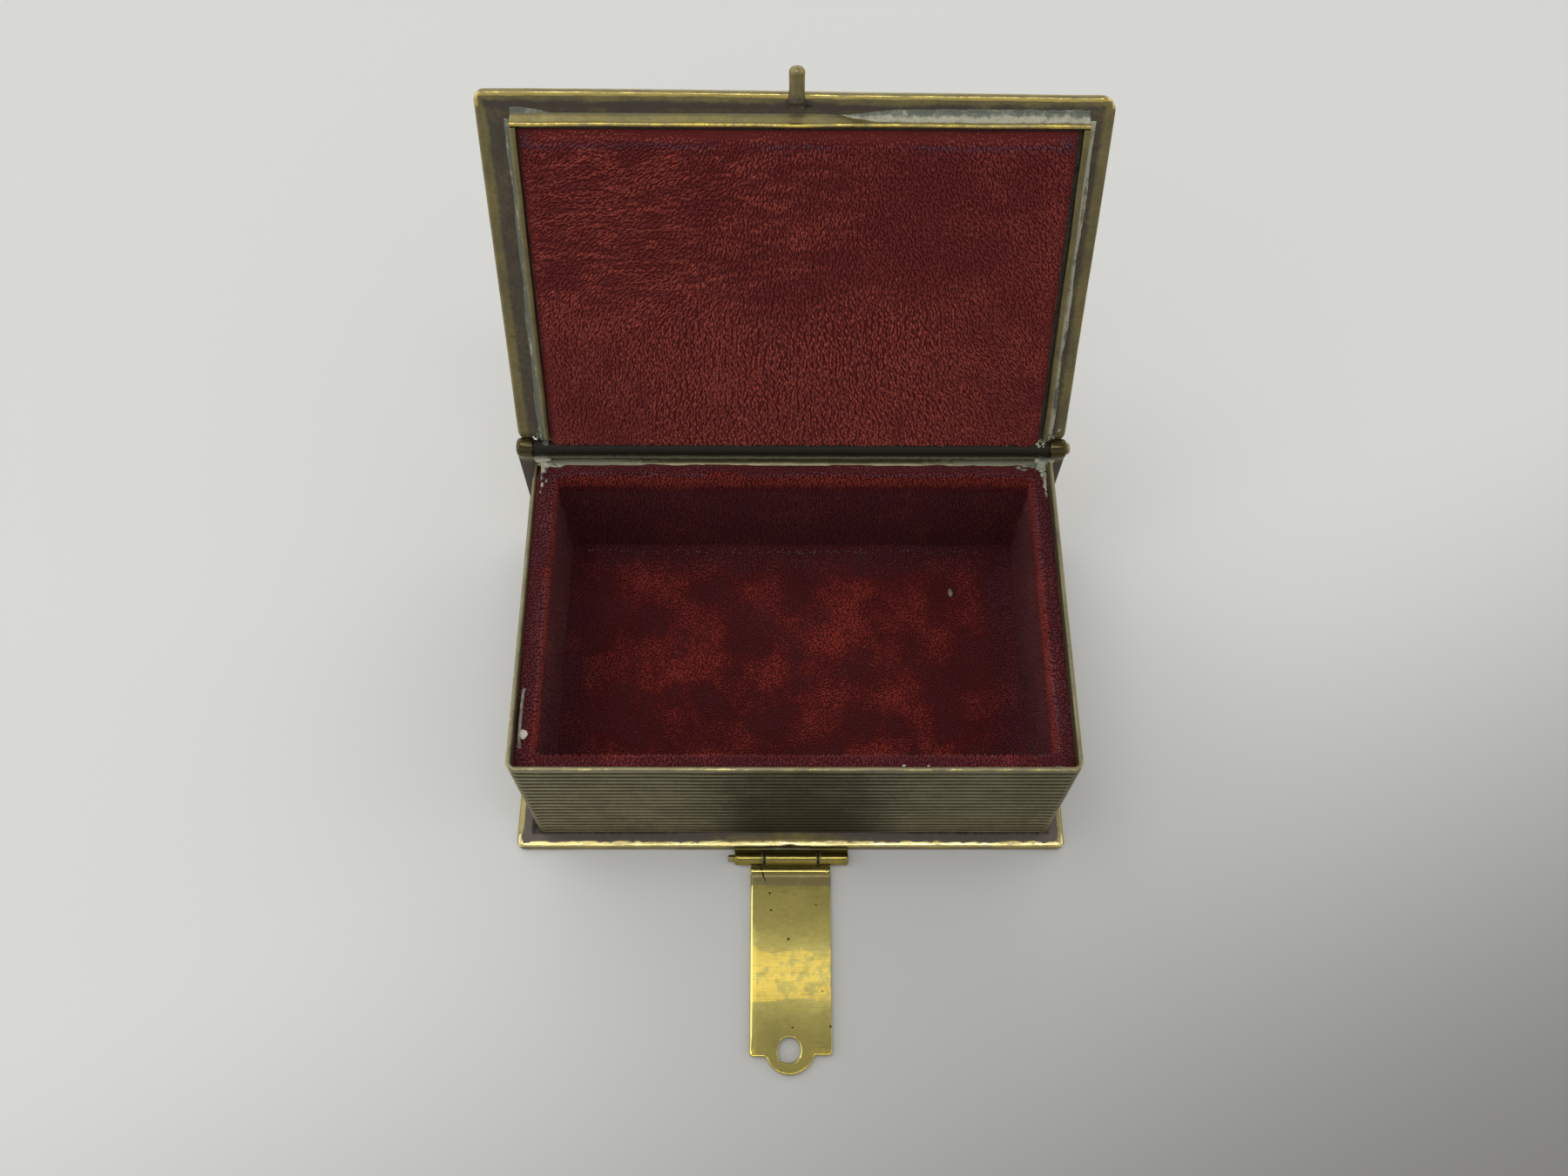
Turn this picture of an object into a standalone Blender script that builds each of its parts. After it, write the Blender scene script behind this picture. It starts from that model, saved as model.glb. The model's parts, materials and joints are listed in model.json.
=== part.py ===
"""A small brass box in the form of a book, lined with velvet: a case for sewing needles.

The lower cover lies on the ground with its centre at the origin. X runs along the book's spine,
+Y points to the spine and +Z up. The lid stands open and the clasp's strap lies forward on the ground.
Everything is in metres.
"""

import math

import bmesh
import bpy
from mathutils import Matrix, Vector

MM = 0.001

# Driving dimensions.
COVER_WIDTH = 80.8 * MM
COVER_DEPTH = 53.0 * MM
COVER_THICKNESS = 1.3 * MM
COVER_CORNER = 1.2 * MM
COVER_EDGE = 0.45 * MM
BASE_EDGE_ANGLE = 40
BLOCK_HEIGHT = 27.0 * MM
SIDE_OVERHANG = 2.62 * MM
FRONT_OVERHANG = 2.25 * MM
BLOCK_SHIFT = 0.3 * MM
OPEN_ANGLE = 115.2

# Gaps: between soldered or glued pieces, round a pin, between a hinge's tubes and beside a barrel.
SEAM = 0.05 * MM
PIN_PLAY = 0.06 * MM
TUBE_GAP = 0.1 * MM
BARREL_GAP = 0.1 * MM

# Fineness of the round shapes.
WELD = 0.001 * MM
FLAT_ANGLE = 0.2
SMOOTH_ANGLE = 30
LARGE_TURN = 32
SMALL_TURN = 24
CORNER_STEPS = 4
SMALL_CORNER_STEPS = 3
BLOCK_CORNER_STEPS = 5
DOME_STEPS = 6
SPINE_STEPS = 12
TAB_STEPS = 14
EDGE_STEPS = 2
TUBE_CHAMFER = 0.1 * MM

# Page block.
SHEET = 0.65 * MM
BLOCK_CORNER = 1.4 * MM
PAGE_GROOVES = 19
GROOVE_DEPTH = 0.22 * MM
GROOVE_WIDTH = 0.45 * MM
RIM_BAND = 1.5 * MM
FOOT_BAND = 0.9 * MM
BACK_WALL = 0.8 * MM
BACK_WALL_DROP = 2.1 * MM
NOTCH_DEPTH = 0.6 * MM

# Spine and lid hinge.
SPINE_THICKNESS = 1.1 * MM
SPINE_BULGE = 1.5 * MM
SPINE_SETBACK = 0.8 * MM
KNUCKLE_RADIUS = 1.1 * MM
END_KNUCKLE = 2.2 * MM
HINGE_PIN_RADIUS = 0.55 * MM
PIN_HEAD_RADIUS = 0.85 * MM
PIN_HEAD_LENGTH = 0.45 * MM
PIN_HEAD_GAP = 0.05 * MM
PIN_HEAD_CROWN = 0.7
PIN_HEAD_EDGE = 0.4
HINGE_Y = 25.95 * MM
HINGE_Z = 27.93 * MM

# Lid, measured from the hinge axis towards the front (reach) and up when closed (rise).
LID_REACH = 52.0 * MM
LID_REAR = 1.12 * MM
LID_REAR_AT_ENDS = 1.9 * MM
LID_CLEARANCE = 0.1 * MM
LID_NOTCH_PLAY = 0.3 * MM
LID_NOTCH_CORNER = 0.35 * MM
LID_EDGE_ANGLE = 60
FLANGE_HEIGHT = 1.55 * MM
FLANGE_THICKNESS = 0.6 * MM
FLANGE_FRONT = 48.5 * MM
FLANGE_REAR = 1.9 * MM
FLANGE_PLAY = 0.5 * MM
FLANGE_SHIFT = 0.3 * MM
LID_CARD = 0.5 * MM
LID_VELVET = 1.3 * MM
PANEL_GAP = 0.1 * MM

# Lining of the case.
WALL_CARD = 0.6 * MM
WALL_VELVET = 1.6 * MM
FLOOR_CARD = 0.8 * MM
FLOOR_VELVET = 2.0 * MM
CARD_DROP = 2.0 * MM
VELVET_DROP = 2.2 * MM

# Clasp.
STUD_RADIUS = 1.13 * MM
STUD_LENGTH = 4.85 * MM
STUD_PROJECTION = 3.2 * MM
STUD_X = 0.1 * MM
STUD_RISE = 0.5 * MM
STUD_GAP = 0.1 * MM
HASP_AXIS_Y = -28.05 * MM
HASP_AXIS_Z = 1.08 * MM
HASP_KNUCKLE_RADIUS = 1.03 * MM
HASP_PIN_RADIUS = 0.5 * MM
HASP_HINGE_WIDTH = 16.7 * MM
HASP_MIDDLE_KNUCKLE = 7.8 * MM
HASP_PIN_STANDOUT = 0.9 * MM
HASP_PIN_SHORT = 0.15 * MM
HASP_PIN_CHAMFER = 0.12 * MM
HASP_LEAF = 0.4 * MM
LEAF_FOOT = 0.1 * MM
LEAF_TOP = 1.75 * MM
WEB_INSET = 0.1 * MM
WEB_REACH = 0.7 * MM
WEB_FOOT = 0.6 * MM
WEB_TOP = 1.55 * MM
STRAP_WIDTH = 11.65 * MM
STRAP_THICKNESS = 0.9 * MM
LEFT_SHOULDER = 27.9 * MM
RIGHT_SHOULDER = 27.5 * MM
STRAP_START = 1.12 * MM
STRAP_CORNER = 0.8 * MM
LAP_END = 2.3 * MM
LAP_RISE = 0.35 * MM
NECK_LAP = 0.4 * MM
NECK_REACH = 0.68 * MM
HOLE_REACH = 27.1 * MM
HOLE_RADIUS = 1.7 * MM
HOLE_X = -0.2 * MM
TAB_RADIUS = 3.45 * MM

# Levels and places that follow from them.
RIM_Z = COVER_THICKNESS + BLOCK_HEIGHT
BLOCK_LEFT = -COVER_WIDTH / 2 + SIDE_OVERHANG + BLOCK_SHIFT
BLOCK_RIGHT = COVER_WIDTH / 2 - SIDE_OVERHANG + BLOCK_SHIFT
BLOCK_FRONT = -COVER_DEPTH / 2 + FRONT_OVERHANG
SPINE_FRONT = HINGE_Y - SPINE_SETBACK
BACK_OUTER = SPINE_FRONT - SEAM
BACK_INNER = BACK_OUTER - BACK_WALL
BACK_TOP = RIM_Z - BACK_WALL_DROP
LID_FACE = RIM_Z + LID_CLEARANCE - HINGE_Z
LINING_FOOT = COVER_THICKNESS + SEAM
VELVET_FOOT = LINING_FOOT + FLOOR_CARD + SEAM
LINING_CORNER = BLOCK_CORNER - SHEET + SEAM

# Finishes: colour, roughness and metallic.
COVER_BRASS = ((0.38, 0.32, 0.15), 0.4, 1.0)
WALL_BRASS = ((0.38, 0.32, 0.15), 0.5, 1.0)
STRAP_BRASS = ((0.60, 0.47, 0.19), 0.35, 1.0)
BRIGHT_BRASS = ((0.75, 0.60, 0.24), 0.28, 1.0)
TARNISH = ((0.22, 0.18, 0.13), 0.5, 1.0)
CARD = ((0.42, 0.42, 0.36), 0.95, 0.0)
CASE_VELVET = ((0.20, 0.02, 0.03), 0.95, 0.0)
PANEL_VELVET = ((0.33, 0.04, 0.04), 0.95, 0.0)


def clear_scene():
    """Remove every object that the file opened with."""
    for obj in list(bpy.data.objects):
        bpy.data.objects.remove(obj)


def make_collection(name):
    collection = bpy.data.collections.new(name)
    bpy.context.scene.collection.children.link(collection)
    return collection


def make_material(name, colour, roughness, metallic):
    material = bpy.data.materials.new(name)
    material.use_nodes = True
    shader = material.node_tree.nodes["Principled BSDF"]
    shader.inputs["Base Color"].default_value = (*colour, 1.0)
    shader.inputs["Roughness"].default_value = roughness
    shader.inputs["Metallic"].default_value = metallic
    return material


def finish_part(obj, finish, parent=None, smooth=False):
    """Give a part its own material, its parent and, where it is round, smooth shading."""
    obj.data.materials.clear()
    obj.data.materials.append(make_material(obj.name, *finish))
    if parent is not None:
        obj.parent = parent
    if smooth:
        obj.data.shade_smooth()
        obj.data.set_sharp_from_angle(angle=math.radians(SMOOTH_ANGLE))
    return obj


def mesh_object(name, mesh, collection):
    obj = bpy.data.objects.new(name, mesh)
    collection.objects.link(obj)
    return obj


def box(name, low, high, collection):
    """A rectangular block between two corners, with its origin at the parent's."""
    bm = bmesh.new()
    bmesh.ops.create_cube(bm, size=1.0)
    size = Vector(high) - Vector(low)
    middle = (Vector(high) + Vector(low)) / 2
    stretch = Matrix.Diagonal((*size, 1.0))
    bmesh.ops.transform(bm, matrix=Matrix.Translation(middle) @ stretch, verts=bm.verts)
    mesh = bpy.data.meshes.new(name)
    bm.to_mesh(mesh)
    bm.free()
    return mesh_object(name, mesh, collection)


def cylinder(name, radius, length, collection):
    """A plain cylinder along +Z from its origin."""
    bm = bmesh.new()
    middle = Matrix.Translation((0, 0, length / 2))
    bmesh.ops.create_cone(
        bm, cap_ends=True, segments=LARGE_TURN, radius1=radius, radius2=radius, depth=length, matrix=middle
    )
    mesh = bpy.data.meshes.new(name)
    bm.to_mesh(mesh)
    bm.free()
    return mesh_object(name, mesh, collection)


def arc(centre, radius, start, end, steps):
    """Points of an arc from one angle to another, in degrees."""
    points = []
    for i in range(steps + 1):
        angle = math.radians(start + (end - start) * i / steps)
        points.append((centre[0] + radius * math.cos(angle), centre[1] + radius * math.sin(angle)))
    return points


def rounded_rectangle(left, right, front, back, radius):
    steps = CORNER_STEPS
    points = []
    points += arc((right - radius, back - radius), radius, 0, 90, steps)
    points += arc((left + radius, back - radius), radius, 90, 180, steps)
    points += arc((left + radius, front + radius), radius, 180, 270, steps)
    points += arc((right - radius, front + radius), radius, 270, 360, steps)
    return points


def flat_curve(name, points, half_thickness):
    """A filled 2D outline with an even thickness."""
    curve = bpy.data.curves.new(name, "CURVE")
    curve.dimensions = "2D"
    curve.fill_mode = "BOTH"
    curve.extrude = half_thickness
    spline = curve.splines.new("POLY")
    spline.points.add(len(points) - 1)
    for point, (x, y) in zip(spline.points, points):
        point.co = (x, y, 0.0, 1.0)
    spline.use_cyclic_u = True
    return curve


def curve_to_mesh(name, curve, collection, matrix):
    """Turn a curve into one closed mesh object, with its caps welded to its sides."""
    source = bpy.data.objects.new(name + "_outline", curve)
    collection.objects.link(source)
    source.matrix_world = matrix
    bpy.context.view_layer.update()
    evaluated = source.evaluated_get(bpy.context.evaluated_depsgraph_get())
    mesh = bpy.data.meshes.new_from_object(evaluated)
    mesh.name = name
    bpy.data.objects.remove(source)
    bm = bmesh.new()
    bm.from_mesh(mesh)
    bmesh.ops.remove_doubles(bm, verts=bm.verts, dist=WELD)
    bmesh.ops.dissolve_limit(bm, angle_limit=math.radians(FLAT_ANGLE), verts=bm.verts, edges=bm.edges)
    bmesh.ops.transform(bm, matrix=matrix, verts=bm.verts)
    bmesh.ops.recalc_face_normals(bm, faces=bm.faces)
    bm.to_mesh(mesh)
    bm.free()
    return mesh_object(name, mesh, collection)


def plate(name, points, low, high, collection):
    """An outline in the XY plane, filled from one level to another."""
    curve = flat_curve(name, points, (high - low) / 2)
    return curve_to_mesh(name, curve, collection, Matrix.Translation((0, 0, (low + high) / 2)))


def turned(name, profile, segments, collection, closed=False):
    """A shape turned round its own Z axis. The profile's points are (radius, height), top to bottom."""
    mesh = bpy.data.meshes.new(name)
    points = [(radius, 0.0, height) for radius, height in profile]
    edges = [(i, i + 1) for i in range(len(points) - 1)]
    if closed:
        edges.append((len(points) - 1, 0))
    mesh.from_pydata(points, edges, [])
    obj = mesh_object(name, mesh, collection)
    screw = obj.modifiers.new("turn", "SCREW")
    screw.steps = segments
    screw.render_steps = segments
    screw.use_merge_vertices = True
    screw.merge_threshold = WELD
    return obj


def lay_along_x(obj, start_x, y, z):
    """Lay a turned shape down so that its axis runs along +X from a starting point."""
    obj.location = (start_x, y, z)
    obj.rotation_euler = (0, math.radians(90), 0)
    return obj


def tube(name, bore, outer, length, segments, collection):
    """A tube round its own Z axis, with small chamfers at its outer ends."""
    profile = [
        (bore, length),
        (outer - TUBE_CHAMFER, length),
        (outer, length - TUBE_CHAMFER),
        (outer, TUBE_CHAMFER),
        (outer - TUBE_CHAMFER, 0.0),
        (bore, 0.0),
    ]
    return turned(name, profile, segments, collection, closed=True)


def bevel_edges(obj, width, angle):
    modifier = obj.modifiers.new("rounded edges", "BEVEL")
    modifier.width = width
    modifier.segments = EDGE_STEPS
    modifier.limit_method = "ANGLE"
    modifier.angle_limit = math.radians(angle)


def join_or_cut(obj, other, operation):
    modifier = obj.modifiers.new(operation.lower(), "BOOLEAN")
    modifier.operation = operation
    modifier.solver = "EXACT"
    modifier.object = other
    other.hide_render = True
    other.display_type = "WIRE"


def make_axis(name, y, z, collection):
    """An empty on a joint's axis, to carry the parts that turn about it."""
    axis = bpy.data.objects.new(name, None)
    axis.location = (0, y, z)
    collection.objects.link(axis)
    return axis


# Case.


def make_base_cover(parts):
    outline = rounded_rectangle(
        -COVER_WIDTH / 2, COVER_WIDTH / 2, -COVER_DEPTH / 2, COVER_DEPTH / 2, COVER_CORNER
    )
    cover = plate("base_cover", outline, 0.0, COVER_THICKNESS, parts)
    bevel_edges(cover, COVER_EDGE, BASE_EDGE_ANGLE)
    return finish_part(cover, COVER_BRASS, smooth=True)


def page_section():
    """Section of the wall: x is the distance out from the inner face, y the height above the wall's foot."""
    height = BLOCK_HEIGHT - SEAM
    points = [(0.0, 0.0), (SHEET, 0.0)]
    lowest = FOOT_BAND
    highest = height - RIM_BAND
    for i in range(PAGE_GROOVES):
        middle = lowest + (highest - lowest) * i / (PAGE_GROOVES - 1)
        points.append((SHEET, middle - GROOVE_WIDTH / 2))
        points.append((SHEET - GROOVE_DEPTH, middle))
        points.append((SHEET, middle + GROOVE_WIDTH / 2))
    points.append((SHEET, height))
    points.append((0.0, height))
    return points


def wall_path():
    """The inner face of the page wall in plan, from its left end round the front to its right end."""
    left = BLOCK_LEFT + SHEET
    right = BLOCK_RIGHT - SHEET
    front = BLOCK_FRONT + SHEET
    radius = BLOCK_CORNER - SHEET
    points = [(left, BACK_INNER - SEAM)]
    points += arc((left + radius, front + radius), radius, 180, 270, BLOCK_CORNER_STEPS)
    points += arc((right - radius, front + radius), radius, 270, 360, BLOCK_CORNER_STEPS)
    points.append((right, BACK_INNER - SEAM))
    return points


def make_page_wall(parts, cutters):
    """The grooved section swept along the path, then notched at its rear ends to clear the hinge."""
    section = bpy.data.objects.new("page_section", flat_curve("page_section", page_section(), 0.0))
    section.data.fill_mode = "NONE"
    cutters.objects.link(section)
    section.hide_render = True
    path = bpy.data.curves.new("page_path", "CURVE")
    path.dimensions = "3D"
    path.twist_mode = "Z_UP"
    path.bevel_mode = "OBJECT"
    path.bevel_object = section
    path.use_fill_caps = True
    spline = path.splines.new("POLY")
    plan = wall_path()
    spline.points.add(len(plan) - 1)
    for point, (x, y) in zip(spline.points, plan):
        point.co = (x, y, 0.0, 1.0)
    wall = curve_to_mesh("page_wall", path, parts, Matrix.Translation((0, 0, COVER_THICKNESS + SEAM)))
    notch = box(
        "hinge_notch",
        (BLOCK_LEFT - SHEET, BACK_INNER - NOTCH_DEPTH, BACK_TOP),
        (BLOCK_RIGHT + SHEET, BACK_INNER + SHEET, RIM_Z + SHEET),
        cutters,
    )
    join_or_cut(wall, notch, "DIFFERENCE")
    return finish_part(wall, WALL_BRASS)


def make_back_wall(parts):
    wall = box(
        "back_wall",
        (BLOCK_LEFT, BACK_INNER, COVER_THICKNESS + SEAM),
        (BLOCK_RIGHT, BACK_OUTER, BACK_TOP),
        parts,
    )
    return finish_part(wall, WALL_BRASS)


def make_spine(parts):
    """A plate that bulges backwards between the base cover and the hinge, like a book's spine."""
    foot = COVER_THICKNESS + SEAM
    top = HINGE_Z - KNUCKLE_RADIUS - BARREL_GAP
    half_height = (top - foot) / 2
    radius = (half_height**2 + SPINE_BULGE**2) / (2 * SPINE_BULGE)
    sweep = math.degrees(math.asin(half_height / radius))
    centre = (SPINE_BULGE - radius, 0.0)
    outer = arc(centre, radius, -sweep, sweep, SPINE_STEPS)
    outline = [(x + SPINE_THICKNESS, y) for x, y in outer]
    outline += [(0.0, half_height), (0.0, -half_height)]
    curve = flat_curve("spine", outline, COVER_WIDTH / 2)
    upright = Matrix.Rotation(math.radians(90), 4, "Z") @ Matrix.Rotation(math.radians(90), 4, "X")
    place = Matrix.Translation((0, SPINE_FRONT, foot + half_height)) @ upright
    spine = curve_to_mesh("spine", curve, parts, place)
    return finish_part(spine, WALL_BRASS, smooth=True)


def make_spine_knuckle(side, parts):
    """A short tube on the spine's end."""
    bore = HINGE_PIN_RADIUS + PIN_PLAY
    start = -COVER_WIDTH / 2 if side == "left" else COVER_WIDTH / 2 - END_KNUCKLE
    knuckle = tube("spine_knuckle_" + side, bore, KNUCKLE_RADIUS, END_KNUCKLE, LARGE_TURN, parts)
    lay_along_x(knuckle, start, HINGE_Y, HINGE_Z)
    return finish_part(knuckle, BRIGHT_BRASS, smooth=True)


def make_lid_hinge_pin(parts):
    """A plain pin with a peened head beyond the right knuckle."""
    length = COVER_WIDTH + PIN_HEAD_GAP
    head = length + PIN_HEAD_LENGTH
    profile = [
        (0.0, head),
        (PIN_HEAD_RADIUS * PIN_HEAD_CROWN, head),
        (PIN_HEAD_RADIUS, head - PIN_HEAD_LENGTH * PIN_HEAD_EDGE),
        (PIN_HEAD_RADIUS, length),
        (HINGE_PIN_RADIUS, length),
        (HINGE_PIN_RADIUS, 0.0),
        (0.0, 0.0),
    ]
    pin = turned("lid_hinge_pin", profile, LARGE_TURN, parts)
    lay_along_x(pin, -COVER_WIDTH / 2, HINGE_Y, HINGE_Z)
    return finish_part(pin, COVER_BRASS, smooth=True)


def make_floor_lining(left, right, front, back, parts):
    """A card over the whole floor, and a velvet pad that fills the well between the wall velvets."""
    outline = rounded_rectangle(left, right, front, back, LINING_CORNER)
    card = plate("floor_card", outline, LINING_FOOT, LINING_FOOT + FLOOR_CARD, parts)
    finish_part(card, CARD)
    inset = WALL_CARD + WALL_VELVET + 2 * SEAM
    low = (left + inset, front + inset, VELVET_FOOT)
    high = (right - inset, back - inset, VELVET_FOOT + FLOOR_VELVET)
    finish_part(box("velvet_floor", low, high, parts), CASE_VELVET)


def make_wall_cards(left, right, front, back, parts):
    """Four cards that stand on the floor card against the brass, clear of its rounded corners."""
    foot = VELVET_FOOT
    top = RIM_Z - CARD_DROP
    corner = LINING_CORNER
    side = WALL_CARD + SEAM
    cards = {
        "left_card": ((left, front + corner, foot), (left + WALL_CARD, back, top)),
        "right_card": ((right - WALL_CARD, front + corner, foot), (right, back, top)),
        "front_card": ((left + corner, front, foot), (right - corner, front + WALL_CARD, top)),
        "back_card": ((left + side, back - WALL_CARD, foot), (right - side, back, top - SEAM)),
    }
    for name, (low, high) in cards.items():
        finish_part(box(name, low, high, parts), CARD)


def make_wall_velvets(left, right, front, back, parts):
    """Four velvet pads on the cards: the side ones run the full depth, the others fit between them."""
    foot = VELVET_FOOT
    top = RIM_Z - VELVET_DROP
    outer = WALL_CARD + SEAM
    inner = outer + WALL_VELVET
    between = inner + SEAM
    pads = {
        "velvet_left": ((left + outer, front + outer, foot), (left + inner, back - outer, top)),
        "velvet_right": ((right - inner, front + outer, foot), (right - outer, back - outer, top)),
        "velvet_front": ((left + between, front + outer, foot), (right - between, front + inner, top)),
        "velvet_back": ((left + between, back - inner, foot), (right - between, back - outer, top)),
    }
    for name, (low, high) in pads.items():
        finish_part(box(name, low, high, parts), CASE_VELVET)


def make_lining(parts):
    """Cards and velvet, from the floor up and from the walls inwards."""
    left = BLOCK_LEFT + SHEET + SEAM
    right = BLOCK_RIGHT - SHEET - SEAM
    front = BLOCK_FRONT + SHEET + SEAM
    back = BACK_INNER - SEAM
    make_floor_lining(left, right, front, back, parts)
    make_wall_cards(left, right, front, back, parts)
    make_wall_velvets(left, right, front, back, parts)


def make_hasp_hinge_leaf(parts, cutters):
    """A leaf on the base cover's front edge, joined by short webs to the hinge's two outer tubes."""
    half_width = HASP_HINGE_WIDTH / 2
    half_middle = HASP_MIDDLE_KNUCKLE / 2 + SEAM
    leaf_back = -COVER_DEPTH / 2 - SEAM
    leaf = box(
        "hasp_hinge_leaf",
        (-half_width, leaf_back - HASP_LEAF, LEAF_FOOT),
        (half_width, leaf_back, LEAF_TOP),
        parts,
    )
    bore = HASP_PIN_RADIUS + PIN_PLAY
    length = half_width - half_middle
    for side, start in (("left", -half_width), ("right", half_middle)):
        end = start + length
        web = box(
            "leaf_web_" + side,
            (start + WEB_INSET, HASP_AXIS_Y + WEB_REACH, WEB_FOOT),
            (end - WEB_INSET, leaf_back - HASP_LEAF / 2, WEB_TOP),
            cutters,
        )
        join_or_cut(leaf, web, "UNION")
        knuckle = tube("leaf_knuckle_" + side, bore, HASP_KNUCKLE_RADIUS, length, SMALL_TURN, cutters)
        lay_along_x(knuckle, start, HASP_AXIS_Y, HASP_AXIS_Z)
        join_or_cut(leaf, knuckle, "UNION")
    return finish_part(leaf, BRIGHT_BRASS, smooth=True)


def make_hasp_hinge_pin(parts):
    """A plain pin that stands out of the hinge's left end."""
    length = HASP_HINGE_WIDTH - HASP_PIN_SHORT + HASP_PIN_STANDOUT
    tip_radius = HASP_PIN_RADIUS - HASP_PIN_CHAMFER
    profile = [
        (0.0, length),
        (tip_radius, length),
        (HASP_PIN_RADIUS, length - HASP_PIN_CHAMFER),
        (HASP_PIN_RADIUS, HASP_PIN_CHAMFER),
        (tip_radius, 0.0),
        (0.0, 0.0),
    ]
    pin = turned("hasp_hinge_pin", profile, SMALL_TURN, parts)
    lay_along_x(pin, -HASP_HINGE_WIDTH / 2 - HASP_PIN_STANDOUT, HASP_AXIS_Y, HASP_AXIS_Z)
    return finish_part(pin, COVER_BRASS, smooth=True)


# Lid. Its parts are placed as when it is closed, from the hinge axis, and their parent opens it.


def lid_outline():
    """The upper cover in plan: rounded front corners, and notches at the rear for the end knuckles."""
    half = COVER_WIDTH / 2
    notch = END_KNUCKLE + LID_NOTCH_PLAY
    radius = COVER_CORNER
    small = LID_NOTCH_CORNER
    steps = SMALL_CORNER_STEPS
    points = []
    points += arc((half - small, -LID_REAR_AT_ENDS - small), small, 0, 90, steps)
    points += arc((half - notch + small, -LID_REAR_AT_ENDS + small), small, 270, 180, steps)
    points.append((half - notch, -LID_REAR))
    points.append((-half + notch, -LID_REAR))
    points += arc((-half + notch - small, -LID_REAR_AT_ENDS + small), small, 0, -90, steps)
    points += arc((-half + small, -LID_REAR_AT_ENDS - small), small, 90, 180, steps)
    points += arc((-half + radius, -LID_REACH + radius), radius, 180, 270, CORNER_STEPS)
    points += arc((half - radius, -LID_REACH + radius), radius, 270, 360, CORNER_STEPS)
    return points


def make_lid_cover(parts, cutters, axis):
    """The upper cover, with a slot in its front edge for the stud."""
    cover = plate("lid_cover", lid_outline(), LID_FACE, LID_FACE + COVER_THICKNESS, parts)
    bevel_edges(cover, COVER_EDGE, LID_EDGE_ANGLE)
    slot = cylinder("stud_slot", STUD_RADIUS + STUD_GAP, 2 * STUD_LENGTH, cutters)
    slot.location = (STUD_X, -stud_start() + STUD_GAP, STUD_RISE)
    slot.rotation_euler = (math.radians(90), 0, 0)
    slot.parent = axis
    join_or_cut(cover, slot, "DIFFERENCE")
    return finish_part(cover, COVER_BRASS, parent=axis, smooth=True)


def stud_start():
    """Distance from the hinge axis to the stud's inner end."""
    return LID_REACH + STUD_PROJECTION - STUD_LENGTH


def make_clasp_stud(parts, axis):
    """A round pin with a domed outer end."""
    dome = arc((0.0, STUD_LENGTH - STUD_RADIUS), STUD_RADIUS, 90, 0, DOME_STEPS)
    stud = turned("clasp_stud", dome + [(STUD_RADIUS, 0.0), (0.0, 0.0)], LARGE_TURN, parts)
    stud.location = (STUD_X, -stud_start(), STUD_RISE)
    stud.rotation_euler = (math.radians(90), 0, 0)
    return finish_part(stud, COVER_BRASS, parent=axis, smooth=True)


def make_lid_flanges(parts, axis):
    """Three strips under the upper cover, which drop inside the page wall."""
    left = BLOCK_LEFT + SHEET + FLANGE_PLAY + FLANGE_SHIFT
    right = BLOCK_RIGHT - SHEET - FLANGE_PLAY + FLANGE_SHIFT
    low = LID_FACE - SEAM - FLANGE_HEIGHT
    high = LID_FACE - SEAM
    inner_front = -FLANGE_FRONT + FLANGE_THICKNESS + SEAM
    strips = {
        "lid_flange_front": ((left, -FLANGE_FRONT, low), (right, -FLANGE_FRONT + FLANGE_THICKNESS, high)),
        "lid_flange_left": ((left, inner_front, low), (left + FLANGE_THICKNESS, -FLANGE_REAR, high)),
        "lid_flange_right": ((right - FLANGE_THICKNESS, inner_front, low), (right, -FLANGE_REAR, high)),
    }
    for name, (low_corner, high_corner) in strips.items():
        finish_part(box(name, low_corner, high_corner, parts), STRAP_BRASS, parent=axis)


def make_lid_lining(parts, axis):
    """A card and a velvet panel between the flanges."""
    left = BLOCK_LEFT + SHEET + FLANGE_PLAY + FLANGE_SHIFT + FLANGE_THICKNESS + PANEL_GAP
    right = BLOCK_RIGHT - SHEET - FLANGE_PLAY + FLANGE_SHIFT - FLANGE_THICKNESS - PANEL_GAP
    front = -FLANGE_FRONT + FLANGE_THICKNESS + PANEL_GAP
    back = -KNUCKLE_RADIUS - PANEL_GAP
    card_high = LID_FACE - SEAM
    card_low = card_high - LID_CARD
    velvet_high = card_low - SEAM
    card = box("lid_card", (left, front, card_low), (right, back, card_high), parts)
    finish_part(card, CARD, parent=axis)
    velvet_low = velvet_high - LID_VELVET
    velvet = box("velvet_lid_panel", (left, front, velvet_low), (right, back, velvet_high), parts)
    finish_part(velvet, PANEL_VELVET, parent=axis)


def make_lid_knuckle(parts, axis):
    """The long tube between the end knuckles."""
    length = COVER_WIDTH - 2 * (END_KNUCKLE + TUBE_GAP)
    knuckle = tube("lid_knuckle", HINGE_PIN_RADIUS + PIN_PLAY, KNUCKLE_RADIUS, length, LARGE_TURN, parts)
    lay_along_x(knuckle, -length / 2, 0.0, 0.0)
    return finish_part(knuckle, TARNISH, parent=axis, smooth=True)


def make_lid(parts, cutters):
    axis = make_axis("lid_axis", HINGE_Y, HINGE_Z, parts)
    make_lid_cover(parts, cutters, axis)
    make_clasp_stud(parts, axis)
    make_lid_flanges(parts, axis)
    make_lid_lining(parts, axis)
    make_lid_knuckle(parts, axis)
    axis.rotation_euler = (-math.radians(OPEN_ANGLE), 0, 0)


# Hasp. Its parts are placed from the clasp hinge's axis, lying forward on the ground.


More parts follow.
